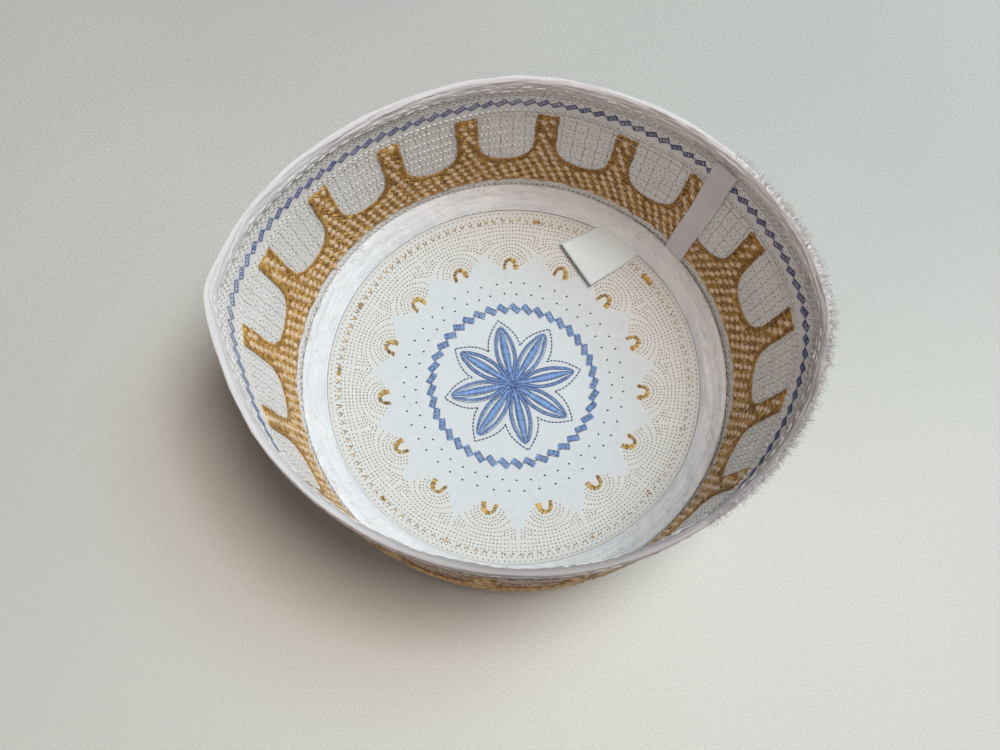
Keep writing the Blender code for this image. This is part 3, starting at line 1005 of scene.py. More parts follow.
def makeTape():
    across = np.linspace(-0.5, 0.5, 17)[None, :]
    height = np.linspace(tape["low"], tape["high"], 61)[:, None]
    turn = across * tape["width"] / (2 * math.pi * cap["seamRadius"]) + 0.0006 * np.sin(height * 9.0)
    crinkle = (ripples(across * tape["width"] + 0 * height, height * cap["bandSlant"], 14 * mm, 51) * 0.16
               + 0.22 * np.abs(across * 2) ** 3) * mm
    front = wallPoint(turn, height, tape["back"] + tape["thickness"] + crinkle)
    back = wallPoint(turn, height, tape["back"] + crinkle)
    piece = makeSlab("joinTape", front, back, tapeWhite)
    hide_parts("join_tape")
    return piece


# A few small bright stitches hold the tape down
def sewTape():
    dice = np.random.default_rng(55)
    rows = [np.arange(lowest, 0.90, tape["stitchPitch"]) for _, lowest in tape["stitchRows"]]
    heights = np.concatenate(rows)
    across = np.repeat([row[0] for row in tape["stitchRows"]], [len(row) for row in rows]) * tape["width"]
    across = across + dice.normal(0, 0.25 * mm, len(heights))
    turn = np.mod(across / cap["girth"], 1.0)
    depth = (tape["back"] + tape["thickness"] + tape["stitchLift"]) + 0 * turn
    place, onward, upward, inward = wallFrame(turn, heights, depth)
    along = turnedWay(upward, onward, dice.normal(0, 12, len(turn)))
    sewOn("tapeStitches", hairThread, (place, along, inward),
          dice.uniform(*tape["stitchLengths"], len(turn)) * mm, tape["stitchWidth"], tape["stitchHeight"],
          whiteThread, dice.uniform(0.7, 1.0, len(turn)))


# Size label: sewn in along the roll, its inner corners free and a little raised
label = {"edgeRadius": 75.2 * mm, "edgeAngles": (61.2, 45.2), "freeLeft": (19.9 * mm, 59.3 * mm),
         "freeRight": (32.1 * mm, 41.3 * mm), "thickness": 0.35 * mm, "gap": 0.45 * mm, "rise": 2.0 * mm}


def makeLabel():
    inward = np.linspace(0, 1, 25)[:, None]
    across = np.linspace(0, 1, 21)[None, :]
    angle = np.radians(label["edgeAngles"][0] + (label["edgeAngles"][1] - label["edgeAngles"][0]) * across)
    edge = np.stack([label["edgeRadius"] * np.cos(angle), label["edgeRadius"] * np.sin(angle)], -1)
    left, right = np.array(label["freeLeft"]), np.array(label["freeRight"])
    free = left + (right - left) * across[..., None]
    plan = edge + (free - edge) * inward[..., None]
    radius = np.hypot(plan[..., 0], plan[..., 1])
    upright = cap["crownThickness"] / np.cos(crownSlope(radius))
    bow = 0.5 * mm * np.sin(math.pi * inward) * np.sin(math.pi * across)
    z = crownHeight(radius) + upright + label["gap"] + label["rise"] * inward**2 + bow
    back = np.stack([plan[..., 0], plan[..., 1], z], -1)
    front = back + np.array([0, 0, label["thickness"]])
    piece = makeSlab("sizeLabel", front, back, labelWhite)
    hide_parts("size_label")
    return piece


makeTape()
sewTape()
makeLabel()
print("cap: tape and label are in")

# Gold arcade: ground, lattice of puffs with threads between, and a satin edge along each panel
gold = {
    "columns": 20,                        # across one panel
    "rows": 9,
    "sink": 0.12 * mm,                    # how far its back goes into the cloth, and how far it stands out
    "raise": 0.22 * mm,
    "raggedTop": (0, 1, -1, 1, 0, 1, -1),
    "latticePitch": 3.70 * mm,
    "tiltStart": 24.0,                    # degrees by the join, and the other way after a turn
    "tiltChange": -54.0,
    "archWidth": 31.1 * mm,
    "edgeStep": 0.40 * mm,
    "edgeStepOutside": 0.56 * mm,
    "edgeLength": 1.70 * mm,
    "edgeVaries": 0.50 * mm,              # broader on the far wall than on the left one
    "edgeWidth": 0.52 * mm,
    "edgeHeights": (0.4, 0.9),            # mm
    "edgeLift": 0.16 * mm,
    "edgeTilt": 30,                       # degrees off square to the edge
    "threadWidths": (0.55, 0.85),         # mm
    "threadHeights": (0.5, 1.0),          # mm
    "puffWidth": 2.6 * mm,
    "puffLength": 3.75 * mm,
    "puffHeight": 0.95 * mm,
    "puffHeightOutside": 0.45 * mm,
    "puffRoom": 2.0 * mm,                 # from its middle to the edge of the gold
}


def makeGoldGround(side):
    ragged = 0.006 * np.array(gold["raggedTop"])
    pillar = np.linspace(-0.91, 0.91, len(ragged)) * cap["halfPillar"]   # the satin edge reaches past it
    bow = 0.5 - (0.5 - cap["halfPillar"] - 0.001) * np.cos(np.linspace(0, math.pi, gold["columns"]))
    shares = np.concatenate([pillar, bow])
    tops = np.concatenate([np.full(len(pillar), cap["panelShoulder"]), panelBottom(bow)]) - 0.005
    arches = np.repeat(np.arange(cap["arches"]), len(shares))
    turn = (arches + cap["firstPillar"] + np.tile(shares, cap["arches"])) / cap["arches"]
    low, high = goldFoot(turn), np.tile(tops, cap["arches"])
    rows, columns = gold["rows"], len(turn)
    levels = np.linspace(0, 1, rows)
    faces = [gridFaces(rows, columns, False, True)]
    allTurns, allHeights = [np.tile(turn, rows)], [(low + (high - low) * levels[:, None]).ravel()]
    start = rows * columns
    for arch in range(cap["arches"]):
        onPillar = arch * len(shares) + np.arange(len(pillar))
        previous = (rows - 1) * columns + onPillar
        for level in levels[1:]:
            height = cap["panelShoulder"] - 0.005 + (cap["pillarTop"] - cap["panelShoulder"]) * level
            allTurns.append(turn[onPillar])
            allHeights.append(height + ragged * (level == 1))
            current = start + np.arange(len(pillar))
            faces.append(np.stack([previous[:-1], previous[1:], current[1:], current[:-1]], -1))
            start += len(pillar)
            previous = current
    allTurns, allHeights = np.concatenate(allTurns), np.concatenate(allHeights)
    faces = np.concatenate(faces)
    if side > 0:
        faces = faces[:, ::-1]
    place = wallSpot(allTurns, allHeights, side, -gold["sink"])[0]
    corner = allTurns[faces]
    corner = np.where(corner.max(1, keepdims=True) - corner > 0.5, corner + 1.0, corner)
    chart = np.stack([corner * cap["girth"], allHeights[faces] * cap["bandSlant"]], -1)
    piece = makePiece("goldGround" + faceWord[side], place, faces, goldGround, None, chart)
    deselectAll()
    bpy.context.view_layer.objects.active = piece
    piece.select_set(True)
    wall = piece.modifiers.new("wall", "SOLIDIFY")
    wall.thickness = gold["raise"] + gold["sink"]
    wall.offset = 1.0
    bpy.ops.object.modifier_apply(modifier=wall.name)
    return piece


def panelOutline(steps=41):
    drop = np.linspace(cap["pillarTop"], cap["panelShoulder"], 14)
    side = np.full(13, cap["halfPillar"] + 0.002)
    bow = 0.5 - (0.5 - cap["halfPillar"] - 0.002) * np.cos(np.linspace(0, math.pi, steps))
    shares = np.concatenate([side, bow, 1 - side])
    heights = np.concatenate([drop[:-1], panelBottom(bow), drop[:-1][::-1]])
    return shares, heights


outlineShares, outlineHeights = panelOutline()


# Distance on the cloth to the nearest panel outline, and whether a spot lies in the gold
def goldRoom(turn, height):
    share = archShare(turn)
    x, y = share * gold["archWidth"], height * cap["bandSlant"]
    lineX, lineY = outlineShares * gold["archWidth"], outlineHeights * cap["bandSlant"]
    best = np.full(x.shape, 1.0)
    for shift in (-gold["archWidth"], 0.0, gold["archWidth"]):
        for spotX, spotY in zip(lineX, lineY):
            best = np.minimum(best, np.hypot(x - spotX - shift, y - spotY))
    fromPillar = np.minimum(share, 1 - share)
    inPillar = fromPillar < cap["halfPillar"]
    ceiling = np.where(inPillar, cap["pillarTop"], panelBottom(share))
    inside = (height < ceiling) & (height > goldFoot(turn))
    roof = np.where(inPillar, (cap["pillarTop"] - height) * cap["bandSlant"], 1.0)
    floor = (height - goldFoot(turn)) * cap["bandSlant"]
    return inside, best, roof, floor


def latticeSpots():
    pitch = gold["latticePitch"]
    around = 2 * math.pi * cap["seamRadius"] * 1.02
    middle = 0.2 * cap["bandSlant"]
    found = []
    w, phase = -8 * pitch, 0.0
    while w < around + 9 * pitch:
        tiltDegrees = gold["tiltStart"] + gold["tiltChange"] * np.clip(1 - w / around, 0, 1) ** 1.4
        tilt = math.radians(tiltDegrees)
        steps = (np.arange(-16, 17) * pitch + (phase % pitch))
        turn = 1 - (w + math.sin(tilt) * steps) / around
        height = (middle - math.cos(tilt) * steps) / cap["bandSlant"]
        found.append(np.stack([turn, height, np.full(len(steps), tiltDegrees)], -1))
        w += pitch / math.cos(tilt)
        phase -= pitch * math.tan(tilt)
    found = np.concatenate(found)
    return found[(found[:, 0] > 0.002) & (found[:, 0] < 0.998)]


lattice = latticeSpots()


def sewPuffs(side):
    dice = np.random.default_rng(61)
    turn, height, tilt = lattice.T
    turn = turn + dice.normal(0, 0.14 * mm, len(turn)) / cap["girth"]
    height = height + dice.normal(0, 0.12 * mm, len(turn)) / cap["bandSlant"]
    inside, edge, roof, floor = goldRoom(turn, height)
    keep = inside & (edge > gold["puffRoom"]) & (roof > 0.9 * mm) & (floor > 0.9 * mm)
    turn, height, tilt = turn[keep], height[keep], tilt[keep]
    place, onward, upward, out = wallSpot(turn, height, side, gold["raise"] + 0.05 * mm)
    # the outside mirrors the inside
    along = turnedWay(-onward, upward, tilt + dice.normal(0, 8, len(turn))) * side
    size = dice.normal(1.0, 0.10, (2, len(turn)))
    height, finish = (gold["puffHeight"], puffCream) if side > 0 else (gold["puffHeightOutside"], goldThread)
    sewOn("goldPuffs" + faceWord[side], puff, (place, along, out), gold["puffWidth"] * size[0],
          gold["puffLength"] * size[1], height, finish, dice.uniform(0.35, 1.0, len(turn)), 0.30)


# Threads of one lattice cell: start and end from its middle, in shares of the pitch, right and up
cellThreads = [((-0.54, 0.14), (-0.04, -0.60)), ((0.54, 0.14), (0.04, -0.60)),
               ((-0.60, -0.08), (-0.22, -0.62)), ((0.60, -0.08), (0.22, -0.62)),
               ((-0.50, 0.22), (-0.10, 0.62)), ((0.50, 0.22), (0.10, 0.62))]


def sewThreads(side):
    dice = np.random.default_rng(62)
    turn, height, tilt = lattice.T
    room = goldRoom(turn, height)
    keep = room[0] & (room[1] > 0.4 * mm)
    turn, height, tilt = turn[keep], height[keep], tilt[keep]
    pitch, lean = gold["latticePitch"], np.radians(tilt)
    parts, lengths = [], []
    for start, end in cellThreads if side > 0 else cellThreads[:4]:
        begin = (np.array(start) + dice.normal(0, 0.045, (len(turn), 2))) * pitch
        finish = (np.array(end) + dice.normal(0, 0.045, (len(turn), 2))) * pitch
        inGold = np.ones(len(turn), bool)
        for tip in (begin, finish):
            right = tip[:, 0] * np.cos(lean) - tip[:, 1] * np.sin(lean)
            up = tip[:, 0] * np.sin(lean) + tip[:, 1] * np.cos(lean)
            inside, edge = goldRoom(turn - right / cap["girth"], height + up / cap["bandSlant"])[:2]
            inGold &= inside & (edge > 0.5 * mm)
        centre, way = ((begin + finish) / 2)[inGold], (finish - begin)[inGold]
        lift = gold["raise"] + dice.uniform(0.10, 0.34, inGold.sum()) * mm
        place, onward, upward, out = wallSpot(turn[inGold], height[inGold], side, lift)
        right = turnedWay(-onward, upward, tilt[inGold])
        up = turnedWay(upward, onward, tilt[inGold])
        along = unit(right * way[:, 0:1] + up * way[:, 1:2])
        parts.append((place + right * centre[:, 0:1] + up * centre[:, 1:2], along, out))
        lengths.append(np.hypot(way[:, 0], way[:, 1]) * 1.08)
    spots = joinSpots(parts)
    count = len(spots[0])
    sewOn("goldThreads" + faceWord[side], thinThread, spots, np.concatenate(lengths),
          dice.uniform(*gold["threadWidths"], count) * mm, dice.uniform(*gold["threadHeights"], count) * mm,
          goldThread,
          dice.uniform(-0.1, 1.1, count), 0.35)


# Satin along each panel's outline, walked down its left side, round and up: the gold is on the right hand
def sewEdges(side):
    dice = np.random.default_rng(63)
    x, y = outlineShares * gold["archWidth"], outlineHeights * cap["bandSlant"]
    run = runAlong(x, y)
    stops = np.arange(0, run[-1], gold["edgeStep"] if side > 0 else gold["edgeStepOutside"])
    x, y = np.interp(stops, run, x), np.interp(stops, run, y)
    wayX, wayY = np.gradient(x), np.gradient(y)
    norm = np.hypot(wayX, wayY)
    goldX, goldY = np.tile(wayY / norm, cap["arches"]), np.tile(-wayX / norm, cap["arches"])
    arch = np.repeat(np.arange(cap["arches"]), len(stops))
    turn = (arch + cap["firstPillar"] + np.tile(x, cap["arches"]) / gold["archWidth"]) / cap["arches"]
    length = gold["edgeLength"] + gold["edgeVaries"] * np.cos(2 * math.pi * (turn - 0.08))
    length = length * dice.normal(1.0, 0.22, len(turn))
    inward = length * 0.42 + dice.normal(0, 0.16, len(turn)) * mm
    turn = turn + goldX * inward / cap["girth"]
    height = (np.tile(y, cap["arches"]) + goldY * inward) / cap["bandSlant"]
    place, onward, upward, out = wallSpot(turn, height, side, gold["raise"] + gold["edgeLift"])
    along = unit(onward * goldX[:, None] + upward * goldY[:, None])
    along = turnedWay(along, np.cross(out, along), side * (gold["edgeTilt"] + dice.normal(0, 7, len(turn))))
    sewOn("goldEdge" + faceWord[side], thinThread, (place, along, out), length, gold["edgeWidth"],
          dice.uniform(*gold["edgeHeights"], len(turn)) * mm, goldEdge,
          dice.uniform(0.0, 1.1, len(turn)), 0.35)


for side in (1, -1):
    makeGoldGround(side)
    sewPuffs(side)
    sewThreads(side)
    sewEdges(side)
print("cap: gold arcade is sewn")

# Blue line round the band: leaning blocks of long stitches with thin ones across, joined by a thread
blueLine = {
    "blocks": 110,
    "height": 0.8125,
    "long": 4.6 * mm,
    "short": 2.0 * mm,
    "lean": 33.0,                         # degrees
    "across": 6,
    "thick": 0.36 * mm,
    "longWidth": 0.46 * mm,
    "endWidth": 0.36 * mm,
    "link": 1.5 * mm,
    "linkWidth": 0.20 * mm,
    "linkLean": 10.0,
}


def sewBlueLine(side):
    dice = np.random.default_rng(71)
    count = blueLine["blocks"]
    turn = np.arange(count) / count
    height = blueLine["height"] + dice.normal(0, 0.0014, count)
    place, onward, upward, out = wallSpot(turn, height, side, 0.08 * mm)
    lean = blueLine["lean"] + dice.normal(0, 2.5, count)
    longWay, shortWay = turnedWay(-onward, upward, lean), turnedWay(upward, onward, lean)
    closerAndShaded = np.clip(np.cos(2 * math.pi * (turn - 0.88)) * 1.6, -0.35, 1)   # sewn closer on the right wall, and darker there by painted shade
    dense = np.clip(dice.uniform(0, 1, count) ** 1.5 + 0.6 * closerAndShaded, 0, 1)
    made = []                             # place, way, length, width, tone

    def add(alongOffset, acrossOffset, way, length, width, tone):
        move = [np.broadcast_to(v, (count,))[:, None] for v in (alongOffset, acrossOffset)]
        # painted shade: every thread is darker on the right wall
        tone = tone - 0.22 * closerAndShaded
        made.append((place + longWay * move[0] + shortWay * move[1], way,
                     length * dice.normal(1, 0.05, count), np.broadcast_to(width, (count,)),
                     tone + dice.normal(0, 0.08, count)))

    for hand in (-1, 1):
        add(0.15 * mm * hand, hand * blueLine["short"] * 0.5, longWay, blueLine["long"],
            blueLine["longWidth"], 0.22)
        add(hand * blueLine["long"] * 0.46, 0.0, shortWay, blueLine["short"] * 1.1,
            blueLine["endWidth"], 0.30)
    for k in range(blueLine["across"]):
        offset = ((k + 0.5) / blueLine["across"] - 0.5) * blueLine["long"] * 0.86
        add(offset + dice.normal(0, 0.08 * mm, count), 0.0,
            turnedWay(shortWay, longWay, 12 + dice.normal(0, 8, count)),
            blueLine["short"] * 0.95, (0.24 + 0.34 * dense) * mm, 0.55)
    place = place - onward * (0.5 / count * cap["girth"])
    add(0.0, 0.0, turnedWay(-onward, upward, blueLine["linkLean"] + 0 * turn), blueLine["link"],
        blueLine["linkWidth"], 0.45)
    places, ways, lengths, widths, tones = (np.concatenate(column) for column in zip(*made))
    spots = (places, ways, np.tile(out, (len(made), 1)))
    sewOn("blueLine" + faceWord[side], thinThread, spots, lengths, widths, blueLine["thick"], bandBlue,
          tones, 0.2)


# Rows of eyelets and the white stitches between them
openwork = {
    "bandRows": (0.905, 0.886, 0.866, 0.748, 0.727),
    "dottedRow": 0.847,
    "bandCount": 246,
    "panelRows": (0.690, 0.622, 0.558, 0.498, 0.435, 0.372),
    "panelCount": 310,
    "lines": 117,
    "linePitch": 1.18 * mm,
    "betweenRows": (0.655, 0.590, 0.528, 0.466, 0.403),
    "footRows": (0.078, 0.058, 0.038),
    "footCount": 235,
    "eyelet": 0.60 * mm,
    "bandStitch": 1.75 * mm,
    "bandStitchWidth": 0.74 * mm,
    "panelStitch": 1.25 * mm,
    "stitchWidth": 0.58 * mm,
    "bandStitchHeight": 0.60 * mm,
    "stitchHeight": 0.46 * mm,
    "leftWall": (60 * mm, 0.2),           # a distance from the middle line, and where in it the change starts
    "farWall": (45 * mm, 0.4),
    "floatLean": -38.0,                   # on the outside the stitches are longer, lean, and are tan
    "floatStretch": 2.3,
    "floatWidth": 0.86 * mm,
    "floatHeight": 0.55 * mm,
}


def openworkSpots():
    dots, dashes = [], []                 # turn, height, and the length of a dash

    def addRow(height, count, start, stitch, dotted=True):
        turn = (np.arange(count) + start) / count
        if dotted:
            dots.append(np.stack([turn, height + 0 * turn], -1))
        if stitch:
            dashes.append(np.stack([turn + 0.5 / count, height + 0.003 + 0 * turn, stitch + 0 * turn], -1))

    for k, height in enumerate(openwork["bandRows"]):
        addRow(height, openwork["bandCount"], 0.22 * k, openwork["bandStitch"])
    addRow(openwork["dottedRow"], openwork["bandCount"], 0.8, 0)
    for k, height in enumerate(openwork["panelRows"]):
        addRow(height, openwork["panelCount"], 0.37 * k, openwork["panelStitch"])
    for k, height in enumerate(openwork["footRows"]):
        addRow(height, openwork["footCount"], 0.5 * k, openwork["panelStitch"], k % 2 == 1)
    heights = np.arange(0.30, 0.72, openwork["linePitch"] / cap["bandSlant"])
    for k in range(openwork["lines"]):
        for start, rows in ((0.15, heights), (0.65, np.array(openwork["betweenRows"]))):
            dots.append(np.stack([np.full(len(rows), (k + start) / openwork["lines"]), rows], -1))
    kept = []
    for spots, room in ((np.concatenate(dots), 0.4 * mm), (np.concatenate(dashes), 0.8 * mm)):
        turn, height = spots[:, 0], spots[:, 1]
        inside, edge = goldRoom(turn, height)[:2]
        share = archShare(turn)
        nearPillar = np.minimum(share, 1 - share) < cap["halfPillar"] + 0.012
        low, high = height < 0.2, height > cap["pillarTop"] + 0.008
        between = ~inside & (edge > room) & ~nearPillar
        clear = np.where(high, True, np.where(low, height < goldFoot(turn) - 0.006, between))
        kept.append(spots[clear])
    return kept


eyeletSpots, dashSpots = openworkSpots()


def sewOpenwork(side):
    dice = np.random.default_rng(81)
    turn, height = eyeletSpots.T
    turn = turn + dice.normal(0, 0.10 * mm, len(turn)) / cap["girth"]
    height = height + dice.normal(0, 0.10 * mm, len(turn)) / cap["bandSlant"]
    place, onward, upward, out = wallSpot(turn, height, side, 0.05 * mm)
    size = openwork["eyelet"] * dice.normal(1, 0.14, (2, len(turn)))
    sewOn("eyelets" + faceWord[side], eyelet, (place, onward, out), size[0] * 0.85, size[1] * 1.15,
          eyeletHeight, eyeletDark, dice.uniform(0.0, 1.0, len(turn)))
    turn, height, length = dashSpots.T
    count = len(turn)
    place, onward, upward, out = wallSpot(turn, height, side, 0.14 * mm)
    if side < 0:
        along = turnedWay(onward, upward, openwork["floatLean"] + dice.normal(0, 6, count))
        sewOn("tanFloatsOutside", thinThread, (place, along, out),
              length * openwork["floatStretch"] * dice.normal(1, 0.1, count), openwork["floatWidth"],
              openwork["floatHeight"], tanThread, dice.uniform(0.0, 1.0, count), 0.2)
        return
    along = turnedWay(onward, upward, dice.normal(-6, 5, count))
    inBand = height > 0.71
    width = np.where(inBand, openwork["bandStitchWidth"], openwork["stitchWidth"])
    width = width * dice.uniform(0.75, 1.05, count)
    tall = np.where(inBand, openwork["bandStitchHeight"], openwork["stitchHeight"])
    # finer and duller on the left wall, and bolder on the far wall, as in the photo
    (leftReach, leftStart), (farReach, farStart) = openwork["leftWall"], openwork["farWall"]
    leftWall = np.clip(-place[:, 0] / leftReach - leftStart, 0, 1)
    farWall = np.clip(place[:, 1] / farReach - farStart, 0, 1) * (1 - leftWall)
    # painted light: the stitches' tone follows how the light falls, lowered on the left wall and raised on
    # the far wall
    sewOn("whiteStitchesInside", thinThread, (place, along, out), length * dice.normal(1, 0.1, count),
          width * (1 - 0.25 * leftWall + 0.2 * farWall), tall * (1 - 0.3 * leftWall + 0.7 * farWall),
          whiteThread, dice.uniform(0.4, 1.0, count) - 0.5 * leftWall + 0.3 * farWall)


for side in (1, -1):
    sewBlueLine(side)
    sewOpenwork(side)
print("cap: blue line and openwork are sewn")

# Flower in the middle of the crown: eight petals of satin stitch inside a running-stitch outline
flower = {
    "petals": 8,
    "turn": 45.0,                         # degrees from petal to petal
    "first": 12.5,
    "centre": (-0.2 * mm, 0.4 * mm),
    "tip": 26.0 * mm,
    "leafPitch": 0.40 * mm,
    "bandPitch": 0.46 * mm,
    "bandWidth": 1.45 * mm,
    "middle": ((0.3, 3, 2.6), (1.2, 7, 2.3), (2.3, 11, 2.2)),   # radius in mm, stitches, their length in mm
    "leafStitch": (0.54 * mm, 0.10 * mm),      # width, and how far off the cloth
    "petalStitch": (0.52 * mm, 0.05 * mm),
    "middleStitch": (0.75 * mm, 0.28 * mm),
    "outlineWidth": 0.62 * mm,
    "outlineHeight": 0.40 * mm,
    "outlineTip": 28.3 * mm,
    "outlineValley": 17.2 * mm,
    "dash": 1.32 * mm,
    "dashPitch": 1.55 * mm,
}
# Out from the flower's middle, and half widths there, in mm
petalHalf = ([3.0, 6.0, 10.0, 13.0, 17.0, 20.0, 23.0, 25.0, 26.0],
             [1.1, 2.3, 3.75, 4.1, 3.95, 3.25, 2.1, 0.9, 0.1])
leafHalf = ([2.5, 4.0, 8.0, 12.0, 16.0, 19.0, 22.0, 24.5, 26.0],
            [0.5, 0.7, 1.1, 1.45, 1.5, 1.25, 0.8, 0.35, 0.1])
satinHeight = {1: 0.42 * mm, -1: 0.2 * mm}   # flatter on the outside


def smoothCurve(table, at):
    known, values = (np.array(v) * mm for v in table)
    fine = np.linspace(known[0], known[-1], 60)
    rough = np.interp(fine, known, values)
    soft = np.convolve(np.pad(rough, 3, mode="edge"), np.ones(7) / 7, "valid")
    return np.interp(at, fine, soft)


def flowerPoint(axis, l, c):
    angle = math.radians(axis)
    return (flower["centre"][0] + l * math.cos(angle) - c * math.sin(angle),
            flower["centre"][1] + l * math.sin(angle) + c * math.cos(angle))


def sewFlower(side, thread, name):
    dice = np.random.default_rng(91)
    (leafWidth, leafLift), (petalWidth, petalLift) = flower["leafStitch"], flower["petalStitch"]
    middleWidth, middleLift = flower["middleStitch"]
    batches = []                          # x, y, way, length, width, tone, lift
    for k in range(flower["petals"]):
        axis = flower["first"] + flower["turn"] * k + dice.normal(0, 1.2)
        l = np.arange(1.2 * mm, flower["tip"], flower["leafPitch"])
        count, dark = len(l), np.arange(len(l)) % 2
        batches.append((*flowerPoint(axis, l, 0.0 * l), axis + 72.0 + dice.normal(0, 3, count),
                        2.15 * smoothCurve(leafHalf, l) + 0.25 * mm + dice.normal(0, 0.14 * mm, count),
                        leafWidth, dice.uniform(0.75, 1.15, count) - 0.22 * dark, leafLift))
        for hand in (1, -1):
            l = np.arange(2.6 * mm, flower["tip"] - 0.4 * mm, flower["bandPitch"])
            count, dark = len(l), np.arange(len(l)) % 2
            c = hand * (smoothCurve(petalHalf, l) - 0.46 * mm * np.clip((26 * mm - l) / (5 * mm), 0.15, 1))
            lean = np.degrees(np.arctan2(np.gradient(c), np.gradient(l)))
            narrowing = np.clip((27 * mm - l) / (4 * mm), 0.5, 1)
            batches.append((*flowerPoint(axis, l, c),
                            axis + 90.0 + lean + hand * 15 + dice.normal(0, 5, count),
                            flower["bandWidth"] * dice.normal(1.0, 0.10, count) * narrowing, petalWidth,
                            dice.uniform(0.65, 1.05, count) - 0.25 * dark, petalLift))
    for ring, count, size in flower["middle"]:
        spin = np.arange(count) * 360.0 / count
        spot = flowerPoint(0.0, ring * mm * np.cos(np.radians(spin)), ring * mm * np.sin(np.radians(spin)))
        batches.append((*spot, spin + 25 + dice.normal(0, 25, count), size * mm, middleWidth,
                        dice.uniform(0.3, 0.8, count), middleLift))
    x, y, way, length, width, tone, lift = gathered(batches)
    sewOnCrown(name, thread, x, y, np.radians(way), side, lift, length, width, satinHeight[side],
               blueThread, tone, 0.75)


def flowerOutlinePath():
    half = math.radians(flower["turn"] / 2)
    t = np.linspace(0, 1, 30)
    l = flower["outlineTip"] - (flower["outlineTip"] - flower["outlineValley"] * math.cos(half)) * t
    c = flower["outlineValley"] * math.sin(half) * (1 - (1 - t) ** 2.05)
    points = []
    for k in range(flower["petals"]):
        axis = flower["first"] + flower["turn"] * k
        for hand, order in ((-1, slice(None, None, -1)), (1, slice(None))):
            points.append(np.stack(flowerPoint(axis, l[order], hand * c[order]), -1))
    return np.concatenate(points)


def dashesAlong(path, pitch):
    pathX, pathY = path.T
    run = runAlong(pathX, pathY)
    count = int(run[-1] / pitch)
    stops = (np.arange(count) + 0.5) * run[-1] / count
    ahead, behind = np.clip(stops + 0.4 * mm, 0, run[-1]), np.clip(stops - 0.4 * mm, 0, run[-1])
    way = np.arctan2(np.interp(ahead, run, pathY) - np.interp(behind, run, pathY),
                     np.interp(ahead, run, pathX) - np.interp(behind, run, pathX))
    return np.interp(stops, run, pathX), np.interp(stops, run, pathY), way


def sewOutline():
    dice = np.random.default_rng(92)
    x, y, way = dashesAlong(flowerOutlinePath(), flower["dashPitch"])
    sewOnCrown("flowerOutline", roundThread, x, y, way, 1, 0.06 * mm,
               flower["dash"] * dice.normal(1, 0.06, len(x)), flower["outlineWidth"], flower["outlineHeight"],
               outlineBlue, dice.uniform(0.2, 0.9, len(x)), 0.3)


# Ring of leaning satin blocks round the flower
blueRing = {
    "blocks": 41,
    "radius": 33.2 * mm,
    "first": 97.0,                        # degrees
    "long": 5.1 * mm,
    "short": 2.35 * mm,
    "lean": -34.0,
    "leanVaries": 8.0,
    "stitches": 11,
    "stitchWidths": (0.40, 0.56),         # mm
    "link": 1.8 * mm,
    "linkWidth": 0.26 * mm,
    "centre": (-0.3 * mm, 0.3 * mm),
}


# A spot on the ring's circle, by angles in radians
def ringPoint(way):
    return (blueRing["centre"][0] + blueRing["radius"] * np.cos(way),
            blueRing["centre"][1] + blueRing["radius"] * np.sin(way))


# Angles of the ring's blocks, and the ways in which they are long, in degrees
def ringBlocks():
    angle = blueRing["first"] + np.arange(blueRing["blocks"]) * 360.0 / blueRing["blocks"]
    drift = blueRing["leanVaries"] * np.sin(np.radians(angle * 2 + 60))
    return angle, angle + 90.0 + blueRing["lean"] + drift


def sewBlueRing(side, thread, name):
    dice = np.random.default_rng(95)
    angle, longWay = ringBlocks()
    x, y = ringPoint(np.radians(angle))
    longWay, count = np.radians(longWay), len(angle)
    batches = []                          # x, y, way, length, width, tone
    for k in range(blueRing["stitches"]):
        offset = ((k + 0.5) / blueRing["stitches"] - 0.5) * blueRing["long"]
        wander = dice.normal(0, 0.13 * mm, count)
        batches.append((x + np.cos(longWay) * offset - np.sin(longWay) * wander,
                        y + np.sin(longWay) * offset + np.cos(longWay) * wander,
                        longWay + math.pi / 2 + dice.normal(0, 0.05, count),
                        blueRing["short"] * dice.normal(1.0, 0.07, count),
                        dice.uniform(*blueRing["stitchWidths"], count) * mm,
                        dice.uniform(0.7, 1.15, count) - 0.25 * (k % 2)))
    halfStep = math.radians(180.0 / blueRing["blocks"])
    batches.append((*ringPoint(np.radians(angle) + halfStep), np.radians(angle + 90.0 - 10.0),
                    blueRing["link"], blueRing["linkWidth"], 0.5))
    x, y, way, length, width, tone = gathered(batches)
    sewOnCrown(name, thread, x, y, way, side, 0.06 * mm, length, width, satinHeight[side],
               blueThread, tone, 0.85)


# Fine dark stitches along the sides of the satin: painted shade where its threads turn round into the cloth
paintedEdgeShade = {
    "pitch": 1.0 * mm,
    "length": 1.2 * mm,
    "width": 0.30 * mm,
    "ringWidth": 0.34 * mm,
    "height": 0.36 * mm,
    "lift": 0.12 * mm,
}


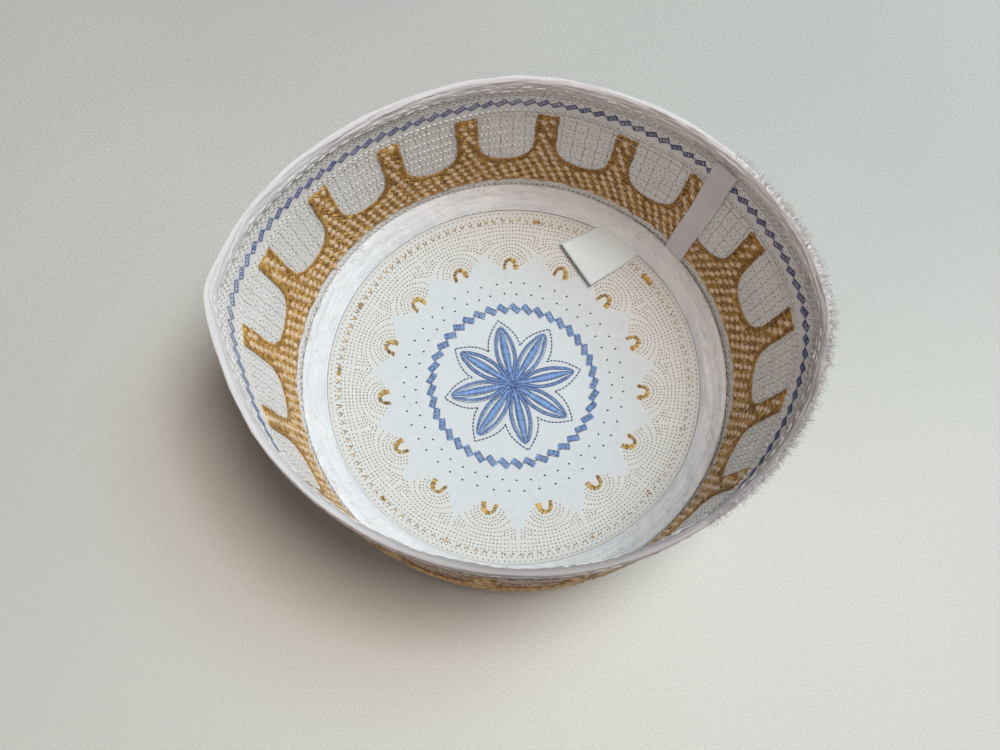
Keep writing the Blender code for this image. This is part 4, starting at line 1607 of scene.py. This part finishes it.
def sewPaintedEdgeShade():
    dice = np.random.default_rng(96)
    batches = []                          # x, y, way, length, width
    for k in range(flower["petals"]):
        axis = flower["first"] + flower["turn"] * k
        for table, shift in ((petalHalf, 0.16), (petalHalf, -1.16), (leafHalf, 0.02)):
            for hand in (1, -1):
                l = np.arange(3.4 * mm, flower["tip"] - 1.4 * mm, paintedEdgeShade["pitch"])
                l = l + dice.uniform(0, 0.6) * mm
                taper = np.clip((26 * mm - l) / (5 * mm), 0.1, 1) if shift < 0 else 1.0
                c = hand * np.maximum(smoothCurve(table, l) + shift * mm * taper, 0.1 * mm)
                lean = np.degrees(np.arctan2(np.gradient(c), np.gradient(l)))
                batches.append((*flowerPoint(axis, l, c), axis + lean + dice.normal(0, 4, len(l)),
                                paintedEdgeShade["length"], paintedEdgeShade["width"]))
    angle, longWay = ringBlocks()
    x, y = ringPoint(np.radians(angle))
    across = np.radians(longWay + 90.0)
    for hand in (1, -1):
        batches.append((x + hand * 0.5 * blueRing["short"] * np.cos(across),
                        y + hand * 0.5 * blueRing["short"] * np.sin(across),
                        longWay, blueRing["long"], paintedEdgeShade["ringWidth"]))
    x, y, way, length, width = gathered(batches)
    sewOnCrown("bluePaintedEdgeShade", hairThread, x, y, np.radians(way), 1, paintedEdgeShade["lift"], length, width,
               paintedEdgeShade["height"], outlineBlue, dice.uniform(0.3, 1.1, len(way)))


# Two rows of eyelets round the ring
starDots = {"rows": ((39.8 * mm, 45), (44.4 * mm, 45)), "first": 95.4, "dot": 1.12 * mm}


def sewStarDots(side, name):
    dice = np.random.default_rng(96)
    batches = []                          # angle, radius
    for row, (radius, count) in enumerate(starDots["rows"]):
        angle = starDots["first"] + (np.arange(count) + 0.5 * row) * 360.0 / count
        batches.append((np.radians(angle + dice.normal(0, 0.35, count)),
                        radius + dice.normal(0, 0.15 * mm, count)))
    angle, radius = gathered(batches)
    sewOnCrown(name, eyelet, radius * np.cos(angle), radius * np.sin(angle), 0.0, side, 0.04 * mm,
               starDots["dot"], starDots["dot"] * 0.9, eyeletHeight, eyeletGrey,
               dice.uniform(0, 1, len(angle)))


# Rows of dots over the fans: rings round each arch that flatten outwards, with short rows let in between
def fanRowSpots():
    batches = []                          # x, y
    half = math.radians(180.0 / fans["count"])
    spin = np.radians(np.linspace(-125, 125, 160))
    rows = [(row, 0) for row in range(fans["wholeRows"])] + list(fans["shortRows"])
    for fan in range(fans["count"]):
        axis = math.radians(fans["first"] + fan * 360.0 / fans["count"])
        for row, start in rows:
            reach = fans["firstReach"] + fans["rowPitch"] * row
            flat = np.interp(row, *fans["flatter"])
            l, c = fans["archRadius"] + reach * np.cos(spin), reach / flat * np.sin(spin)
            run = runAlong(l, c)
            stops = np.arange(-40, 41) * (fans["dotPitch"] * (1 + fans["pitchGrowth"] * row)) + run[-1] / 2
            stops = stops[(stops > 0) & (stops < run[-1])]
            l, c = np.interp(stops, run, l), np.interp(stops, run, c)
            radius, away = np.hypot(l, c), np.arctan2(c, l)
            keep = radius > fanInner(np.degrees(axis + away)) + fans["clearance"]
            keep &= (np.abs(away) < half * 0.99) & (np.abs(away) > half * start)
            way = axis + away[keep]
            batches.append((radius[keep] * np.cos(way), radius[keep] * np.sin(way)))
    for radius, count, start in fans["outerRows"]:
        angle = (np.arange(count) + start) * 2 * math.pi / count
        batches.append((radius * np.cos(angle), radius * np.sin(angle)))
    return gathered(batches)


def sewFanDots(side, name):
    dice = np.random.default_rng(97)
    x, y = fanRowSpots()
    x, y = x + dice.normal(0, 0.07 * mm, len(x)), y + dice.normal(0, 0.07 * mm, len(y))
    spots = crownSpot(x, y, -y / np.hypot(x, y), x / np.hypot(x, y), side, 0.03 * mm)
    sewOn(name, eyelet, spots, fans["dot"] * dice.normal(1.1, 0.12, len(x)),
          fans["dot"] * dice.normal(0.85, 0.1, len(x)), eyeletHeight, eyeletBrown,
          dice.uniform(0, 1, len(x)))


# Gold arch at the foot of each fan, open to the middle of the crown: its stitches stand apart like spokes
goldArch = {
    "stitches": 14,
    "middle": 2.3 * mm,
    "halfTurn": 92.0,                     # degrees, to each side
    "length": 2.0 * mm,
    "width": 0.57 * mm,
    "height": 0.45 * mm,
    "leg": 3,
    "legStep": 0.55 * mm,
}


def sewGoldArches():
    dice = np.random.default_rng(98)
    batches = []                          # x, y, way, length, tone
    for fan in range(fans["count"]):
        axis = fans["first"] + fan * 360.0 / fans["count"]
        halfTurn, count = goldArch["halfTurn"], goldArch["stitches"]
        spin = np.linspace(-halfTurn, halfTurn, count) + dice.normal(0, 2, count)
        l = fans["archRadius"] + goldArch["middle"] * np.cos(np.radians(spin))
        c = goldArch["middle"] * np.sin(np.radians(spin))
        way = spin.copy()
        for hand in (-1, 1):
            for step in range(1, goldArch["leg"] + 1):
                l = np.append(l, fans["archRadius"] - step * goldArch["legStep"])
                c = np.append(c, hand * (goldArch["middle"] + 0.05 * mm * step))
                way = np.append(way, hand * halfTurn)
        angle = math.radians(axis)
        batches.append((l * math.cos(angle) - c * math.sin(angle), l * math.sin(angle) + c * math.cos(angle),
                        np.radians(axis + way + 10) + dice.normal(0, 0.13, len(l)),
                        goldArch["length"] * dice.normal(1, 0.12, len(l)) * np.where(c > 0, 0.80, 1.12),
                        dice.uniform(0.10, 0.95, len(l)) - 0.2 * (c > 0)))
    x, y, way, length, tone = gathered(batches)
    sewOnCrown("goldArches", roundThread, x, y, way, 1, 0.08 * mm, length, goldArch["width"],
               goldArch["height"], goldBright, tone, 0.35)


# Small gold marks in a ring outside the fans, their points inwards, piled up where two runs of sewing meet
goldMarks = {
    "count": 127,
    "radius": 69.7 * mm,
    "open": 27.0,                         # degrees
    "length": 1.75 * mm,
    "width": 0.50 * mm,
    "height": 0.40 * mm,
    "half": 0.50 * mm,
    "piles": (                            # angle, stitches, reach in mm, size
        (37.6, 16, 2.5, 1.35), (153.8, 10, 0.9, 1.0), (81.8, 8, 1.2, 1.0), (177.8, 7, 1.6, 1.0),
        (224.3, 6, 0.9, 1.0)),
    "dashes": (342.0, 318.2, 295.3, 248.1),
    "underLabel": (46.0, 60.5),
}


def sewGoldMarks():
    dice = np.random.default_rng(99)
    count = goldMarks["count"]
    a = np.radians(np.arange(count) * 360.0 / count + dice.normal(0, 0.18, count))
    batches = []                          # x, y, way, size
    for hand in (-1, 1):
        shift = hand * goldMarks["half"]
        radius = goldMarks["radius"] + dice.normal(0, 0.14 * mm, len(a))
        batches.append((radius * np.cos(a) - shift * np.sin(a), radius * np.sin(a) + shift * np.cos(a),
                        a + hand * math.radians(goldMarks["open"]) + dice.normal(0, 0.16, len(a)),
                        0.76 + 0.28 * np.cos(a - math.radians(155))))   # taller on the far left, and lighter there by painted light
    for spot, count, reach, size in goldMarks["piles"]:
        spread = np.linspace(-1, 1, count) * reach * mm
        a = math.radians(spot)
        batches.append((goldMarks["radius"] * math.cos(a) - spread * math.sin(a),
                        goldMarks["radius"] * math.sin(a) + spread * math.cos(a),
                        a + dice.normal(0, 0.35, count), size))
    a = np.radians(np.repeat(goldMarks["dashes"], 2))
    radius = goldMarks["radius"] + np.tile([-1.2 * mm, 0.2 * mm], len(goldMarks["dashes"]))
    batches.append((radius * np.cos(a), radius * np.sin(a), a, 0.8))
    low, high = goldMarks["underLabel"]
    x, y, way, size = gathered(batches)
    around = np.degrees(np.arctan2(y, x))
    shown = ~((around > low) & (around < high))
    x, y, way, size = x[shown], y[shown], way[shown], size[shown]
    # the marks' tone rises with their size: painted light on the far left, painted shade on the near right
    sewOnCrown("goldMarks", thinThread, x, y, way, 1, 0.07 * mm,
               goldMarks["length"] * size * dice.normal(1, 0.12, len(x)), goldMarks["width"],
               goldMarks["height"], goldBright, dice.uniform(-0.1, 0.6, len(x)) + 0.5 * (size - 0.7), 0.2)


sewFlower(1, roundThread, "flowerSatin")
sewOutline()
sewBlueRing(1, roundThread, "blueRing")
sewPaintedEdgeShade()
sewStarDots(1, "starEyelets")
sewFanDots(1, "fanEyelets")
sewGoldArches()
sewGoldMarks()
sewFlower(-1, hairThread, "flowerOutside")
sewBlueRing(-1, hairThread, "blueRingOutside")
sewStarDots(-1, "starEyeletsOutside")
sewFanDots(-1, "fanEyeletsOutside")
print("cap: crown is sewn")

# Loose ends of thread: smooth runs over the cloth, made of short straight stitches
looseThickness = 0.24 * mm
looseEnds = [                             # turn and height along the thread, and how far it stands off in mm
    ("whiteThread", [(0.1256, 0.742), (0.108, 0.728), (0.088, 0.706), (0.068, 0.688), (0.0560, 0.676)], 0.9),
    ("whiteThread", [(0.1385, 0.690), (0.118, 0.655), (0.098, 0.602), (0.0800, 0.556)], 0.7),
    ("puffCream", [(0.0165, 0.705), (0.0135, 0.62), (0.0145, 0.50), (0.0180, 0.40), (0.0215, 0.33)], 1.5),
    ("puffCream", [(0.0215, 0.715), (0.0200, 0.60), (0.0165, 0.50), (0.0180, 0.44)], 1.6),
    ("puffCream", [(0.9890, 0.290), (0.9850, 0.220), (0.9830, 0.160), (0.9870, 0.090)], 1.5),
    ("whiteThread", [(0.9955, 0.56), (0.9925, 0.48), (0.9895, 0.40), (0.9885, 0.30)], 1.9),
    ("whiteThread", [(0.8130, 0.330), (0.8065, 0.420), (0.8010, 0.500)], 0.8),
]


def sewLooseEnds():
    for finish, name in ((whiteThread, "looseEndsWhite"), (puffCream, "looseEndsCream")):
        parts, lengths = [], []
        for kind, knots, lift in looseEnds:
            if kind != finish.material.name:
                continue
            knots = np.array(knots)
            steps = np.linspace(0, len(knots) - 1, 12 * len(knots))
            turn, height = (np.interp(steps, np.arange(len(knots)), knots[:, k]) for k in (0, 1))
            turn, height = (np.convolve(np.pad(v, 4, mode="edge"), np.ones(9) / 9, "valid")
                            for v in (turn, height))
            place = wallSpot(turn, height, 1, lift * mm)[0]
            out = wallSpot(turn, height, 1)[3][:-1]
            gaps = place[1:] - place[:-1]
            along = unit(gaps)
            out = unit(out - along * np.einsum("ij,ij->i", out, along)[:, None])
            parts.append(((place[1:] + place[:-1]) / 2, along, out))
            lengths.append(np.linalg.norm(gaps, axis=1) * 1.5)
        sewOn(name, hairThread, joinSpots(parts), np.concatenate(lengths), looseThickness, looseThickness,
              finish, 0.9)


# Fluff on the rim, thickest on the right, and frayed thread ends along the hem there. Both are grey: painted
# shade over the white cloth of the shaded right rim.
fluff = {
    "hairs": 1400,
    "angles": (-52.0, 36.0),              # degrees
    "long": 2.2 * mm,
    "thick": 0.13 * mm,
    "frays": 130,
    "frayAngles": (-30.0, 48.0),
    "frayThick": 0.26 * mm,
    "frayDepth": 2.75 * mm,
    "frayLengths": (1.0, 4.2),            # mm
}


# The turn at which the rim has these angles
def turnAt(angle):
    return np.interp(np.mod(angle - cap["rimJoinAngle"], 360.0) + cap["rimJoinAngle"], rimAngles, rimShares)


def sewFluff():
    dice = np.random.default_rng(121)
    turn = turnAt(dice.uniform(*fluff["angles"], fluff["hairs"]) + 360.0)
    depth = dice.uniform(-0.1, 1.8, len(turn)) * mm
    height = np.where(depth < 0.2 * mm, dice.uniform(0.93, 1.0, len(turn)), 1.0)
    place, onward, upward, inward = wallFrame(turn, height, depth)
    lean = dice.normal(0, 0.9, (3, len(turn), 1))
    along = unit(-inward * (0.9 + 0.5 * np.abs(lean[0])) + upward * (0.5 + 0.6 * lean[1]) + onward * lean[2])
    length = fluff["long"] * dice.uniform(0.3, 1.4, len(turn))
    out = np.cross(along, unit(np.cross(along, upward + 0.01)))
    place = place + along * (length * 0.42)[:, None]   # each hair starts just inside the cloth
    sewOn("rimFluff", hairThread, (place, along, out), length, fluff["thick"], fluff["thick"], fluffPaintedShadeGrey,
          dice.uniform(0.0, 1.0, len(turn)))
    turn = turnAt(dice.uniform(*fluff["frayAngles"], fluff["frays"]) + 360.0)
    height = dice.normal(0.925, 0.008, len(turn))
    place, onward, upward, inward = wallFrame(turn, height, fluff["frayDepth"])
    along = turnedWay(onward, upward, dice.normal(-25, 30, len(turn)))
    sewOn("hemFrays", hairThread, (place, along, inward), dice.uniform(*fluff["frayLengths"], len(turn)) * mm,
          fluff["frayThick"], fluff["frayThick"], fluffPaintedShadeGrey, dice.uniform(0.6, 1.0, len(turn)))


sewLooseEnds()
sewFluff()
print("cap: loose ends and fluff are on")
